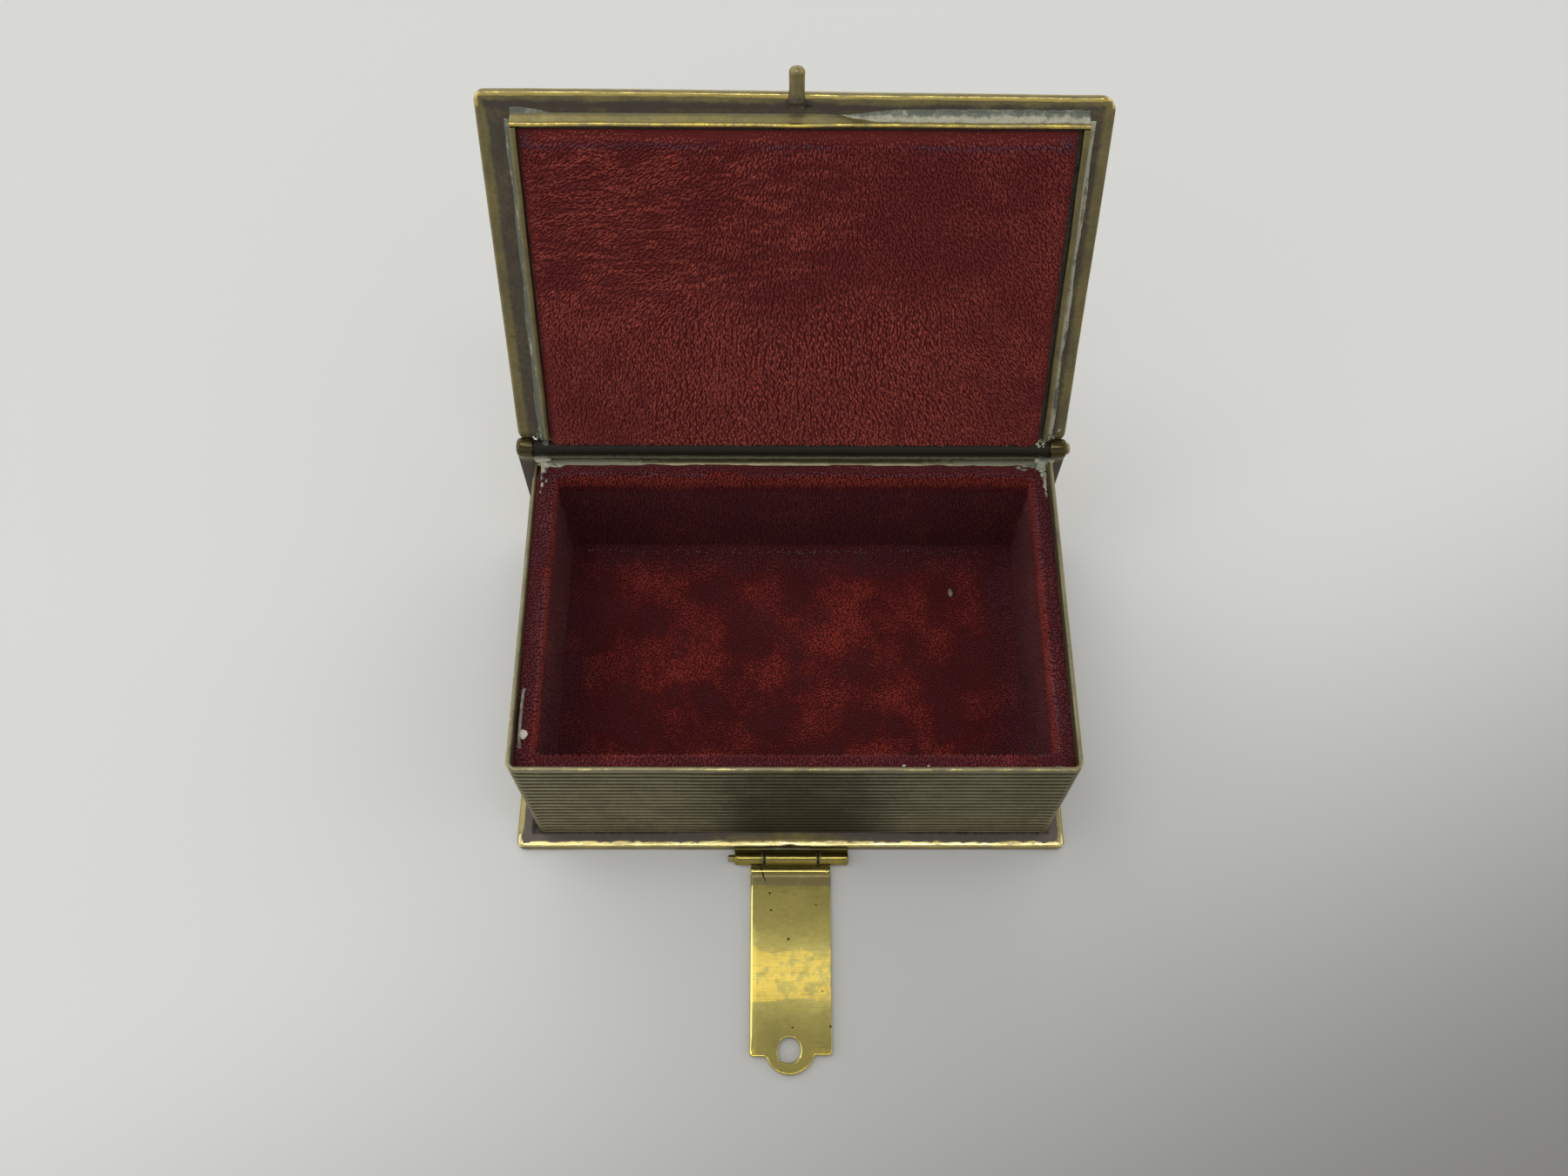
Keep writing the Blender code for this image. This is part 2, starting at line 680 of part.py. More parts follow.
def strap_outline():
    """The strap in plan: straight sides, rounded shoulders a little out of level, and a round tab."""
    half = STRAP_WIDTH / 2
    radius = STRAP_CORNER
    left_angle = math.degrees(math.asin((LEFT_SHOULDER - HOLE_REACH) / TAB_RADIUS))
    right_angle = math.degrees(math.asin((RIGHT_SHOULDER - HOLE_REACH) / TAB_RADIUS))
    points = [(-half, -STRAP_START)]
    points += arc((-half + radius, radius - LEFT_SHOULDER), radius, 180, 270, CORNER_STEPS)
    points += arc((HOLE_X, -HOLE_REACH), TAB_RADIUS, 180 + left_angle, 360 - right_angle, TAB_STEPS)
    points += arc((half - radius, radius - RIGHT_SHOULDER), radius, 270, 360, CORNER_STEPS)
    points.append((half, -STRAP_START))
    return points


def make_hasp_strap(parts, cutters, axis):
    """The strap, its lapped end and its rolled knuckle as one piece, with a hole in the tab."""
    low = SEAM - HASP_AXIS_Z
    high = low + STRAP_THICKNESS
    half = STRAP_WIDTH / 2
    half_knuckle = HASP_MIDDLE_KNUCKLE / 2 - SEAM
    strap = plate("hasp_strap", strap_outline(), low, high, parts)
    lap = box(
        "strap_lap",
        (-half + SEAM, -LAP_END, low + STRAP_THICKNESS / 2),
        (half - SEAM, -STRAP_START - SEAM, high + LAP_RISE),
        cutters,
    )
    neck = box(
        "strap_neck",
        (-half_knuckle + SEAM, -STRAP_START - NECK_LAP, low + SEAM),
        (half_knuckle - SEAM, -NECK_REACH, high + LAP_RISE / 2),
        cutters,
    )
    bore = HASP_PIN_RADIUS + PIN_PLAY
    knuckle = tube("strap_knuckle", bore, HASP_KNUCKLE_RADIUS, 2 * half_knuckle, SMALL_TURN, cutters)
    lay_along_x(knuckle, -half_knuckle, 0.0, 0.0)
    hole = cylinder("strap_hole", HOLE_RADIUS, 4 * STRAP_THICKNESS, cutters)
    hole.location = (HOLE_X, -HOLE_REACH, low - STRAP_THICKNESS)
    for cutter, operation in ((lap, "UNION"), (neck, "UNION"), (knuckle, "UNION"), (hole, "DIFFERENCE")):
        cutter.parent = axis
        join_or_cut(strap, cutter, operation)
    return finish_part(strap, STRAP_BRASS, parent=axis, smooth=True)


def make_case(parts, cutters):
    make_base_cover(parts)
    make_page_wall(parts, cutters)
    make_back_wall(parts)
    make_spine(parts)
    make_spine_knuckle("left", parts)
    make_spine_knuckle("right", parts)
    make_lid_hinge_pin(parts)
    make_lining(parts)
    make_hasp_hinge_leaf(parts, cutters)
    make_hasp_hinge_pin(parts)


def main():
    clear_scene()
    parts = make_collection("needle_case")
    cutters = make_collection("cutters")
    make_case(parts, cutters)
    make_lid(parts, cutters)
    hasp_axis = make_axis("hasp_axis", HASP_AXIS_Y, HASP_AXIS_Z, parts)
    make_hasp_strap(parts, cutters, hasp_axis)


main()
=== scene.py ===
import functools
import json
import math

import bmesh
import bpy
import numpy as np
from mathutils import Matrix, Vector


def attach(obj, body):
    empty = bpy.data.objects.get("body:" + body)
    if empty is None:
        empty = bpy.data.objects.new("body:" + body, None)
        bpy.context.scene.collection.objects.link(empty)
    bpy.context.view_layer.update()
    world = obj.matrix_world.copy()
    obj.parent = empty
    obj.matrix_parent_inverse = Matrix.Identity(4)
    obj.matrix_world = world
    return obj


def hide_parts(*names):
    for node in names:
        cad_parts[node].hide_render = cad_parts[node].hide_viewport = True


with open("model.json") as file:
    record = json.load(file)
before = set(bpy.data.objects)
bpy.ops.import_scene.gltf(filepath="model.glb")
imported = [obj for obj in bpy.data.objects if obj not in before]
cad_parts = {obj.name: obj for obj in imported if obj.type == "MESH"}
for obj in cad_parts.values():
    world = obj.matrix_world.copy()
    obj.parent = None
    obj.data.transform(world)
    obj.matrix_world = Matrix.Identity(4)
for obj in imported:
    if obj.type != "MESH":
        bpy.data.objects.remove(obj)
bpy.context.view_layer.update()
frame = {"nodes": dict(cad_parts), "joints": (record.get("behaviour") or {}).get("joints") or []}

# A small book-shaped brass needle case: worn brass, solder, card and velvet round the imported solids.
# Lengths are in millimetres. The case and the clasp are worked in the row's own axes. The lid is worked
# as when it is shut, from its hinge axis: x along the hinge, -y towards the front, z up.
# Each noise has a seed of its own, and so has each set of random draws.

MM = 0.001
JOINTS = {joint["name"]: joint for joint in frame["joints"]}
LID_OPENING = math.radians(JOINTS["lid_hinge"]["range_deg"][1])
CASE = Matrix.Identity(4)
LID = Matrix.Translation(Vector(JOINTS["lid_hinge"]["pos_m"])) @ Matrix.Rotation(-LID_OPENING, 4, "X")
PLACES = {"case": CASE, "lid": LID, "hasp": CASE}
HASP_AXIS = [value / MM for value in JOINTS["hasp_hinge"]["pos_m"]]


def local_box(node, place=CASE):
    """Lowest and highest corner of a CAD node in millimetres, in its body's own axes."""
    back = place.inverted()
    points = np.array([back @ vertex.co for vertex in frame["nodes"][node].data.vertices]) / MM
    return points.min(axis=0), points.max(axis=0)


def add_object(name, data):
    thing = bpy.data.objects.new(name, data)
    bpy.context.scene.collection.objects.link(thing)
    return thing


# ------------------------------
# Camera, floor and light


def make_camera():
    """A hand-held view from above the front edge, a little off square."""
    yaw, pitch, roll = (math.radians(angle) for angle in (1.10, 62.99, 1.08))
    place = Vector((-2.94, -87.16, 204.44)) * MM
    forward = Vector((math.sin(yaw) * math.cos(pitch), math.cos(yaw) * math.cos(pitch), -math.sin(pitch)))
    level = Vector((math.cos(yaw), -math.sin(yaw), 0.0))
    upright = level.cross(forward)
    right = math.cos(roll) * level + math.sin(roll) * upright
    up = math.cos(roll) * upright - math.sin(roll) * level
    data = bpy.data.cameras.new("camera")
    data.sensor_width, data.lens, data.clip_start = 36.0, 32.54, 0.01
    camera = add_object("camera", data)
    camera.matrix_world = Matrix.Translation(place) @ Matrix((right, up, -forward)).transposed().to_4x4()
    bpy.context.scene.camera = camera


def make_floor():
    """A wide pale tabletop with a painted shadow that darkens it towards the front right."""
    size = 3.0
    mesh = bpy.data.meshes.new("floor")
    corners = [(-size, -size, 0), (size, -size, 0), (size, size, 0), (-size, size, 0)]
    mesh.from_pydata(corners, [], [(0, 1, 2, 3)])
    graph = Graph.named("floor_cloth")
    aslant = graph.stretch(graph.millimetres(), (1.0, 1.0, 1.0), 65.0)
    # Painted shadow: the floor colour falls from pale to dark grey along a slant towards the front right.
    shade = graph.step(graph.part(aslant, 0), 0.0, 120.0)
    graph.shade({"Base Color": graph.mix(shade, (0.82, 0.82, 0.81), (0.25, 0.247, 0.24)), "Roughness": 0.9})
    mesh.materials.append(graph.owner)
    add_object("floor", mesh)


def make_area_light(name, place, target, size, power):
    data = bpy.data.lights.new(name, "AREA")
    data.shape = "RECTANGLE"
    data.size, data.size_y = size
    data.energy = power
    light = add_object(name, data)
    light.location = place
    light.rotation_euler = (Vector(target) - Vector(place)).to_track_quat("-Z", "Y").to_euler()


def make_light():
    """A pale room with a dim ceiling, and a strip lamp overhead that the polished brass shows as a band."""
    bpy.context.scene.view_settings.view_transform = "Standard"
    world = bpy.data.worlds.new("room")
    bpy.context.scene.world = world
    graph = Graph(world, "Background")
    direction = graph.add("ShaderNodeTexCoord", {}, "Generated")
    walls = graph.step(graph.part(direction, 2), 0.86, 0.55)
    front = graph.step(graph.part(direction, 1), -0.95, 0.1, "LINEAR")
    side = graph.step(graph.part(direction, 0), 1.0, -1.0, "LINEAR")
    level = (walls * 0.72 + 0.40) * (front * 0.58 + 0.42) * (side * 0.2 + 0.90)
    graph.shade({"Color": (1.0, 0.995, 0.975, 1.0), "Strength": level})
    make_area_light("strip", (0.0, 0.143, 0.9), (0.0, 0.143, 0.0), (0.7, 0.041), 0.085)
    make_area_light("front", (0.04, -0.20, 0.9), (0.0, 0.0, 0.0), (0.5, 0.11), 0.9)
    make_area_light("soft", (-0.30, 0.10, 0.85), (0.0, 0.0, 0.0), (0.35, 0.35), 0.9)


# ------------------------------
# Materials


class Value:
    """A node's output, which can be added to and multiplied."""

    def __init__(self, graph, socket):
        self.graph, self.socket = graph, socket

    def __add__(self, other):
        return self.graph.maths("ADD", self, other)

    def __sub__(self, number):
        return self + -number

    def __mul__(self, other):
        return self.graph.maths("MULTIPLY", self, other)


class Graph:
    """The nodes of a material or world. Each call adds one and returns its output as a Value."""

    def __init__(self, owner, shader="Principled BSDF"):
        owner.use_nodes = True
        self.owner, self.tree = owner, owner.node_tree
        self.shader = self.tree.nodes[shader]

    @classmethod
    def named(cls, name):
        return cls(bpy.data.materials.new(name))

    def fill(self, node, inputs):
        for socket, value in inputs.items():
            if isinstance(value, Value):
                self.tree.links.new(value.socket, node.inputs[socket])
            else:
                node.inputs[socket].default_value = value

    def add(self, kind, inputs, output=0, **settings):
        node = self.tree.nodes.new(kind)
        for name, value in settings.items():
            setattr(node, name, value)
        self.fill(node, inputs)
        return Value(self, node.outputs[output])

    def shade(self, inputs):
        self.fill(self.shader, inputs)

    def mark(self, name):
        """A number that the mesh holds at each point."""
        return self.add("ShaderNodeAttribute", {}, "Fac", attribute_name=name)

    def place(self):
        """Where a piece's point is on its body, in millimetres."""
        return self.add("ShaderNodeAttribute", {}, "Vector", attribute_name="place")

    def millimetres(self):
        """Where a CAD solid's point is, in millimetres."""
        return self.stretch(self.add("ShaderNodeTexCoord", {}, "Object"), (1 / MM, 1 / MM, 1 / MM))

    def stretch(self, vector, scale, turn=0.0):
        """A vector scaled, and turned by some degrees about Z."""
        turn = (0.0, 0.0, math.radians(turn))
        return self.add("ShaderNodeMapping", {"Vector": vector, "Rotation": turn, "Scale": scale})

    def noise(self, vector, scale, detail=4.0, roughness=0.55, distortion=0.0):
        inputs = {"Vector": vector, "Scale": scale, "Detail": detail}
        inputs.update({"Roughness": roughness, "Distortion": distortion})
        return self.add("ShaderNodeTexNoise", inputs)

    def cells(self, vector, scale):
        return self.add("ShaderNodeTexVoronoi", {"Vector": vector, "Scale": scale}, "Distance")

    def step(self, value, low, high, kind="SMOOTHSTEP"):
        """Goes from 0 to 1 as a value goes from low to high."""
        inputs = {"Value": value, "From Min": low, "From Max": high}
        return self.add("ShaderNodeMapRange", inputs, interpolation_type=kind)

    def span(self, value, low, high):
        """Carries 0 to 1 over to low to high."""
        return self.add("ShaderNodeMapRange", {"Value": value, "To Min": low, "To Max": high})

    def part(self, vector, axis):
        """One coordinate of a vector."""
        return self.add("ShaderNodeSeparateXYZ", {0: vector}, axis)

    def maths(self, operation, first, second=0.0):
        return self.add("ShaderNodeMath", {0: first, 1: second}, operation=operation)

    def mix(self, factor, first, second):
        colours = [colour if isinstance(colour, Value) else (*colour, 1.0) for colour in (first, second)]
        return self.add("ShaderNodeMix", {0: factor, 6: colours[0], 7: colours[1]}, 2, data_type="RGBA")

    def bump(self, height, distance, strength):
        inputs = {"Height": height, "Distance": distance * MM, "Strength": strength}
        return self.add("ShaderNodeBump", inputs)


POLISHED = (0.86, 0.66, 0.155)
AGED = (0.43, 0.36, 0.135)
OLIVE = (0.27, 0.24, 0.12)
TARNISH = (0.115, 0.09, 0.08)
# SOOT_AND_SHADE is the black of soot in pits, cracks and seams, and painted shade on the lid's barrel.
SOOT_AND_SHADE = (0.022, 0.018, 0.012)
VERDIGRIS = (0.27, 0.27, 0.185)

BRASSES = {
    "base_brass": {"dark": (0.16, 0.132, 0.118), "polished": (0.88, 0.74, 0.33), "relief": 0.6},
    "cover_brass": {
        "base": (0.33, 0.28, 0.12), "old": (0.24, 0.21, 0.11), "dark": (0.095, 0.075, 0.060),
        "polished": (0.72, 0.57, 0.18), "relief": 0.6,
    },
    "page_brass": {
        "base": (0.325, 0.295, 0.175), "old": (0.275, 0.245, 0.14), "dark": (0.075, 0.062, 0.028),
        "polished": (0.70, 0.60, 0.26), "rough": (0.3, 0.45), "mottle": 0.3, "relief": 0.4,
    },
    "bright_brass": {
        "base": (0.44, 0.36, 0.09), "old": (0.31, 0.26, 0.07), "dark": (0.12, 0.10, 0.04),
        "rough": (0.13, 0.2), "mottle": 0.35, "relief": 0.15,
    },
    "brown_brass": {
        "base": (0.10, 0.08, 0.035), "old": (0.075, 0.062, 0.028), "dark": (0.045, 0.037, 0.023),
        "polished": (0.5, 0.4, 0.12), "rough": (0.12, 0.22), "relief": 0.15,
    },
    "strip_brass": {
        "base": (0.50, 0.42, 0.18), "old": (0.38, 0.33, 0.15), "dark": (0.17, 0.15, 0.09),
        "rough": (0.2, 0.36), "mottle": 0.4, "relief": 0.6,
    },
    # dark_brass paints the lid's barrel black as shade, and colours the strap's crack.
    "dark_brass": {"base": TARNISH, "dark": SOOT_AND_SHADE},
    "strap_brass": {
        "base": (0.56, 0.475, 0.14), "old": (0.49, 0.42, 0.125), "dark": (0.25, 0.205, 0.075),
        "polished": (0.78, 0.58, 0.125), "rough": (0.10, 0.10), "mottle": 0.4, "relief": 0.05,
        "pitted": 0.85,
    },
}


def scratches(graph, place, angle, scale, width):
    """Thin straight lines, broken up along their length, as a mask."""
    lines = graph.noise(graph.stretch(place, (0.04, 1.0, 1.0), angle), scale, detail=2.0)
    return graph.maths("SUBTRACT", 1.0, graph.step(graph.maths("ABSOLUTE", lines - 0.5), 0.0, width))


def brass_material(
    name, base=AGED, old=OLIVE, dark=TARNISH, polished=POLISHED, rough=(0.20, 0.42), mottle=0.5,
    relief=1.0, pitted=0.0,
):
    """Old brass. The marks wear_and_highlight, grime_and_shade and paste on a mesh say where it is
    polished, dark and crusted. The polish is also painted highlight on the strap, and the dark is also
    painted shade on the lid's barrel and on the base cover's sides.

    rough is the roughness of the polished and of the old surface.
    """
    graph = Graph.named(name)
    place = graph.place()
    broad = graph.noise(place, 0.22, detail=5.0, distortion=0.4)
    fine = graph.noise(place, 1.7, detail=5.0, roughness=0.6)
    grain = graph.noise(place, 7.0, detail=3.0)
    uneven = broad * 0.55 + fine * 0.7 - 0.62
    wear_and_highlight = graph.step(graph.mark("wear_and_highlight") + uneven, 0.3, 0.65)
    # The stain follows grime_and_shade: tarnish film and soot on most pieces, painted shade on the lid's
    # barrel and the base cover's sides.
    stain_and_shade = graph.mark("grime_and_shade") + uneven * 0.5
    film_and_shade = graph.step(stain_and_shade, 0.15, 0.6)
    soot_and_shade = graph.step(stain_and_shade, 0.72, 0.95)
    paste = graph.step(graph.mark("paste") + fine * 0.9 - 0.45, 0.4, 0.6)
    lines = [scratches(graph, place, *look) for look in ((17.0, 1.6, 0.012), (-38.0, 1.3, 0.01))]
    rubbed = graph.maths("MAXIMUM", *lines)
    colour = graph.mix(graph.step(broad, 0.35, 0.65), base, old)
    for share, layer in (
        (graph.step(fine, 0.45, 0.75) * (0.5 * mottle), dark), (wear_and_highlight, polished), (rubbed * 0.3, dark),
        (film_and_shade, dark), (soot_and_shade, SOOT_AND_SHADE), (paste, VERDIGRIS),
    ):
        colour = graph.mix(share, colour, layer)
    dull = graph.maths("MAXIMUM", film_and_shade, paste)
    height = fine * 0.5 + grain * 0.35 + rubbed * -0.25
    if pitted:
        scattered = graph.step(graph.noise(place, 0.3, detail=1.0), 0.5, 0.56)
        pits = graph.step(graph.cells(place, 0.55), 0.13, 0.08) * scattered
        colour = graph.mix(pits * pitted, colour, SOOT_AND_SHADE)
        height = height + pits * -3.0
    graph.shade({
        "Base Color": colour,
        "Roughness": graph.span(wear_and_highlight, rough[1], rough[0]) + dull * 0.2 + grain * 0.08 - 0.04,
        "Metallic": dull * -0.5 + 1.0,
        "Normal": graph.bump(height, 0.05, 0.5 * relief),
    })
    return graph.owner


def velvet_material(name, root, low, high, sheen, dye):
    """Pile, dark at its roots and bright at its tips: the dark root colour is painted shade deep in the
    pile. The marks tip, tone and dye guide its colour.
    """
    graph = Graph.named(name)
    place = graph.place()
    broad = graph.noise(place, 0.11, detail=4.0, distortion=0.3)
    fine = graph.noise(place, 1.1, detail=4.0)
    tone = graph.mark("tone") * 0.5 + broad * 0.7 + fine * 0.5 - 0.32
    lit = graph.mix(graph.mark("dye"), graph.mix(graph.step(tone, 0.0, 0.9), low, high), dye)
    graph.shade({
        "Base Color": graph.mix(graph.mark("tip"), root, lit), "Roughness": 0.85, "Specular IOR Level": 0.2,
        "Sheen Weight": sheen, "Sheen Roughness": 0.4, "Sheen Tint": (1.0, 0.5, 0.45, 1.0),
    })
    return graph.owner


def card_material(name, shade):
    graph = Graph.named(name)
    place = graph.place()
    fine = graph.noise(place, 1.5, detail=5.0)
    fibres = graph.noise(graph.stretch(place, (0.4, 0.4, 3.0)), 3.0, detail=3.0)
    colours = (0.16, 0.15, 0.115), (0.33, 0.32, 0.265)
    # shade scales the card's colours; below 1 it is painted shade.
    dull, pale = ([tone * shade for tone in colour] for colour in colours)
    colour = graph.mix(graph.step(fine, 0.3, 0.7), dull, pale)
    colour = graph.mix(graph.step(fibres, 0.5, 0.75) * 0.5, colour, (0.09, 0.075, 0.06))
    graph.shade({"Base Color": colour, "Roughness": 0.92, "Normal": graph.bump(fibres, 0.05, 0.6)})
    return graph.owner


def crust_material(name, dull, pale, spots):
    """Solder and the crust on it, paler where the mark tip is high."""
    graph = Graph.named(name)
    place = graph.place()
    fine = graph.noise(place, 1.3, detail=6.0, roughness=0.65)
    grain = graph.noise(place, 6.0, detail=4.0)
    colour = graph.mix(graph.step(graph.mark("tip") + fine * 1.2 - 0.6, 0.25, 0.7), dull, pale)
    colour = graph.mix(graph.step(grain, 0.52, 0.72) * 0.6, colour, spots)
    height = graph.bump(fine + grain * 0.5, 0.06, 0.7)
    graph.shade({"Base Color": colour, "Roughness": graph.span(grain, 0.4, 0.75), "Normal": height})
    return graph.owner


def repaint_pins():
    """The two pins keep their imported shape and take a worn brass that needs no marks."""
    graph = Graph.named("pin_brass")
    fine = graph.noise(graph.millimetres(), 1.7, detail=5.0)
    colour = graph.mix(graph.step(fine, 0.35, 0.7), AGED, OLIVE)
    graph.shade({"Base Color": colour, "Roughness": graph.span(fine, 0.2, 0.5), "Metallic": 1.0})
    for node in ("lid_hinge_pin", "hasp_hinge_pin"):
        materials = frame["nodes"][node].data.materials
        materials.clear()
        materials.append(graph.owner)


# ------------------------------
# Mesh helpers


@functools.lru_cache(maxsize=None)
def noise_table(seed):
    return np.random.default_rng(seed).uniform(-1.0, 1.0, (128, 128))


def noise(across, along, cell, seed, octaves=2):
    """Smooth random heights from -1 to 1 over a plane, with lumps about a cell wide."""
    table = noise_table(seed)
    result, weight = 0.0, 0.0
    for octave in range(octaves):
        u = np.asarray(across, float) / cell * 2**octave + 17.3 * octave
        v = np.asarray(along, float) / cell * 2**octave + 9.1 * octave
        i, j = np.floor(u).astype(int), np.floor(v).astype(int)
        a, b = u - i, v - j
        a, b = a * a * (3 - 2 * a), b * b * (3 - 2 * b)
        i, j, k, m = i % 128, j % 128, (i + 1) % 128, (j + 1) % 128
        near = table[i, j] * (1 - a) + table[k, j] * a
        far = table[i, m] * (1 - a) + table[k, m] * a
        result = result + (near * (1 - b) + far * b) * 0.5**octave
        weight += 0.5**octave
    return result / weight


def ease(value, low, high):
    """Eases from 0 to 1 as a value goes from low to high, which may be the smaller."""
    share = np.clip((np.asarray(value, float) - low) / (high - low), 0.0, 1.0)
    return share * share * (3 - 2 * share)


def bell(value, middle, width):
    return np.exp(-(((np.asarray(value, float) - middle) / width) ** 2))


def stations(low, high, spacing):
    return np.linspace(low, high, max(2, int(round((high - low) / spacing)) + 1))


def add_piece(name, shape, body, material, node=None, marks=None, sharp=60):
    """A piece in its body's own axes, in place of a CAD node. marks are numbers that its material reads."""
    points, faces = shape
    points = np.asarray(points, float)
    mesh = bpy.data.meshes.new(name)
    turn = np.array(PLACES[body])
    world = points @ turn[:3, :3].T * MM + turn[:3, 3]
    mesh.from_pydata(world.tolist(), [], faces)
    mesh.attributes.new("place", "FLOAT_VECTOR", "POINT").data.foreach_set("vector", points.ravel())
    for mark, values in (marks or {}).items():
        values = np.broadcast_to(np.asarray(values, np.float32), (len(points),))
        mesh.attributes.new(mark, "FLOAT", "POINT").data.foreach_set("value", np.ascontiguousarray(values))
    piece = add_object(name, mesh)
    mesh.materials.append(material)
    mesh.shade_smooth()
    if sharp:
        mesh.set_sharp_from_angle(angle=math.radians(sharp))
    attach(piece, body)
    if node:
        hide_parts(node)
    return piece


def brass_marks(wear_and_highlight, grime_and_shade, paste=0.0):
    return {"wear_and_highlight": wear_and_highlight, "grime_and_shade": grime_and_shade, "paste": paste}


def flipped(faces):
    return [face[::-1] for face in faces]


def joined(shapes):
    """Several closed bodies as one set of points and faces."""
    points, faces = [], []
    for some, around in shapes:
        first = sum(len(group) for group in points)
        points.append(np.asarray(some, float))
        faces += [[first + k for k in face] for face in around]
    return np.concatenate(points), faces


def lofted(sections):
    """A closed body through sections, each a closed loop of the same number of points."""
    sections = np.asarray(sections, float)
    rows, columns = sections.shape[:2]
    i, j = np.meshgrid(np.arange(rows - 1), np.arange(columns), indexing="ij")
    k = (j + 1) % columns
    around = [i * columns + j, i * columns + k, (i + 1) * columns + k, (i + 1) * columns + j]
    faces = np.stack(around, axis=-1).reshape(-1, 4).tolist()
    faces.append(list(range(columns))[::-1])
    faces.append([(rows - 1) * columns + j for j in range(columns)])
    return sections.reshape(-1, 3), faces


def arc(centre, radius, start, end, steps):
    angles = np.radians(np.linspace(start, end, steps + 1))
    return [(centre[0] + radius * math.cos(a), centre[1] + radius * math.sin(a)) for a in angles]


def rounded_outline(low, high, radius):
    """A rectangle in plan with rounded corners."""
    left, right, front, back = low[0] + radius, high[0] - radius, low[1] + radius, high[1] - radius
    points = []
    for quarter, corner in enumerate(((right, back), (left, back), (left, front), (right, front))):
        points += arc(corner, radius, 90 * quarter, 90 * quarter + 90, 8)
    return points


def plate_body(loops, low, high, edge, cuts_x, cuts_y, steps=4):
    """A plate with rounded edges from outlines in plan, cut into small faces so that it can be worked."""
    curve = bpy.data.curves.new("plate", "CURVE")
    curve.dimensions = "2D"
    curve.fill_mode = "BOTH"
    curve.extrude = (high - low) / 2 - edge
    curve.bevel_depth = edge
    curve.bevel_resolution = steps
    curve.offset = -edge
    for loop in loops:
        spline = curve.splines.new("POLY")
        spline.points.add(len(loop) - 1)
        for point, (x, y) in zip(spline.points, loop):
            point.co = (x, y, 0.0, 1.0)
        spline.use_cyclic_u = True
    source = add_object("plate", curve)
    mesh = bpy.data.meshes.new_from_object(source.evaluated_get(bpy.context.evaluated_depsgraph_get()))
    bpy.data.objects.remove(source)
    body = bmesh.new()
    body.from_mesh(mesh)
    bmesh.ops.remove_doubles(body, verts=body.verts, dist=0.002)
    bmesh.ops.recalc_face_normals(body, faces=body.faces)
    bmesh.ops.translate(body, verts=body.verts, vec=(0, 0, (low + high) / 2))
    for normal, cuts in ((Vector((1, 0, 0)), cuts_x), (Vector((0, 1, 0)), cuts_y)):
        for cut in cuts:
            geometry = body.verts[:] + body.edges[:] + body.faces[:]
            bmesh.ops.bisect_plane(body, geom=geometry, dist=0.004, plane_co=normal * cut, plane_no=normal)
    body.verts.index_update()
    points = np.array([vertex.co[:] for vertex in body.verts])
    faces = [[vertex.index for vertex in face.verts] for face in body.faces]
    body.free()
    return points, faces


SEGMENTS = 32


def turned(profile, start):
    """A body turned about a line along X from start. The profile's points are (along, radius)."""
    angles = np.linspace(0, 2 * np.pi, SEGMENTS, endpoint=False)
    sections = np.zeros((len(profile), SEGMENTS, 3)) + np.asarray(start, float)
    for ring, (along, radius) in zip(sections, profile):
        ring += np.stack([0 * angles + along, radius * np.cos(angles), radius * np.sin(angles)], axis=1)
    return lofted(sections)


def lump(centre, radii, seed, steps=7):
    """A small uneven lump, flattened or drawn out by its three radii."""
    rings = []
    around = np.linspace(0, 2 * np.pi, 2 * steps, endpoint=False)
    for polar in np.radians(np.linspace(4.0, 176.0, steps)):
        x, y, z = np.sin(polar) * np.cos(around), np.sin(polar) * np.sin(around), 0 * around + np.cos(polar)
        rough = 1.0 + 0.28 * noise(x * 2 + z, y * 2, 0.9, seed)
        rings.append(np.asarray(centre) + np.stack([x, y, z], 1) * np.asarray(radii) * rough[:, None])
    return lofted(rings)


def fillet(start, end, side, width, height, seed):
    """A rough bead of solder under a face, from start to end. width and height follow its run."""
    start, end, side = (np.asarray(vector, float) for vector in (start, end, side))
    length = np.linalg.norm(end - start)
    shares = np.concatenate([[-0.12, -0.12], np.linspace(0.0, 1.0, 9)])
    rings = []
    for run in stations(0.0, length, 0.3):
        lumpy = noise(run, shares * 3.0, 0.7, seed, 3)
        out = width(run / length) * (shares + 0.10 * lumpy * (shares > 0))
        top = height(run / length) * (1 - np.clip(shares, 0, 1)) ** 1.1 * (1 + 0.35 * lumpy)
        top[0] = -0.12
        down = np.array([0.0, 0.0, -1.0])
        rings.append(start + (end - start) * run / length + out[:, None] * side + top[:, None] * down)
    return lofted(rings)


def worked_block(low, high, spacing, edge=0.12):
    """A block with softened edges, as a loft along X whose sections have points to be worked."""
    corners = [
        (low[1] + edge, low[2]), (high[1] - edge, low[2]), (high[1], low[2] + edge),
        (high[1], high[2] - edge), (high[1] - edge, high[2]), (low[1] + edge, high[2]),
        (low[1], high[2] - edge), (low[1], low[2] + edge),
    ]
    ring = []
    for (y0, z0), (y1, z1) in zip(corners, corners[1:] + corners[:1]):
        count = max(1, int(math.hypot(y1 - y0, z1 - z0) / 1.0))
        ring += [(y0 + (y1 - y0) * k / count, z0 + (z1 - z0) * k / count) for k in range(count)]
    return lofted([[(x, y, z) for y, z in ring] for x in stations(low[0], high[0], spacing)])


# ------------------------------
# Covers

BORDER_INSETS = (0.25, 0.5, 0.75, 1.0, 1.3, 1.7, 2.2, 3.0, 4.2)
LID_FACE = 0.41  # what is soldered onto the lid's inner face stays above this level


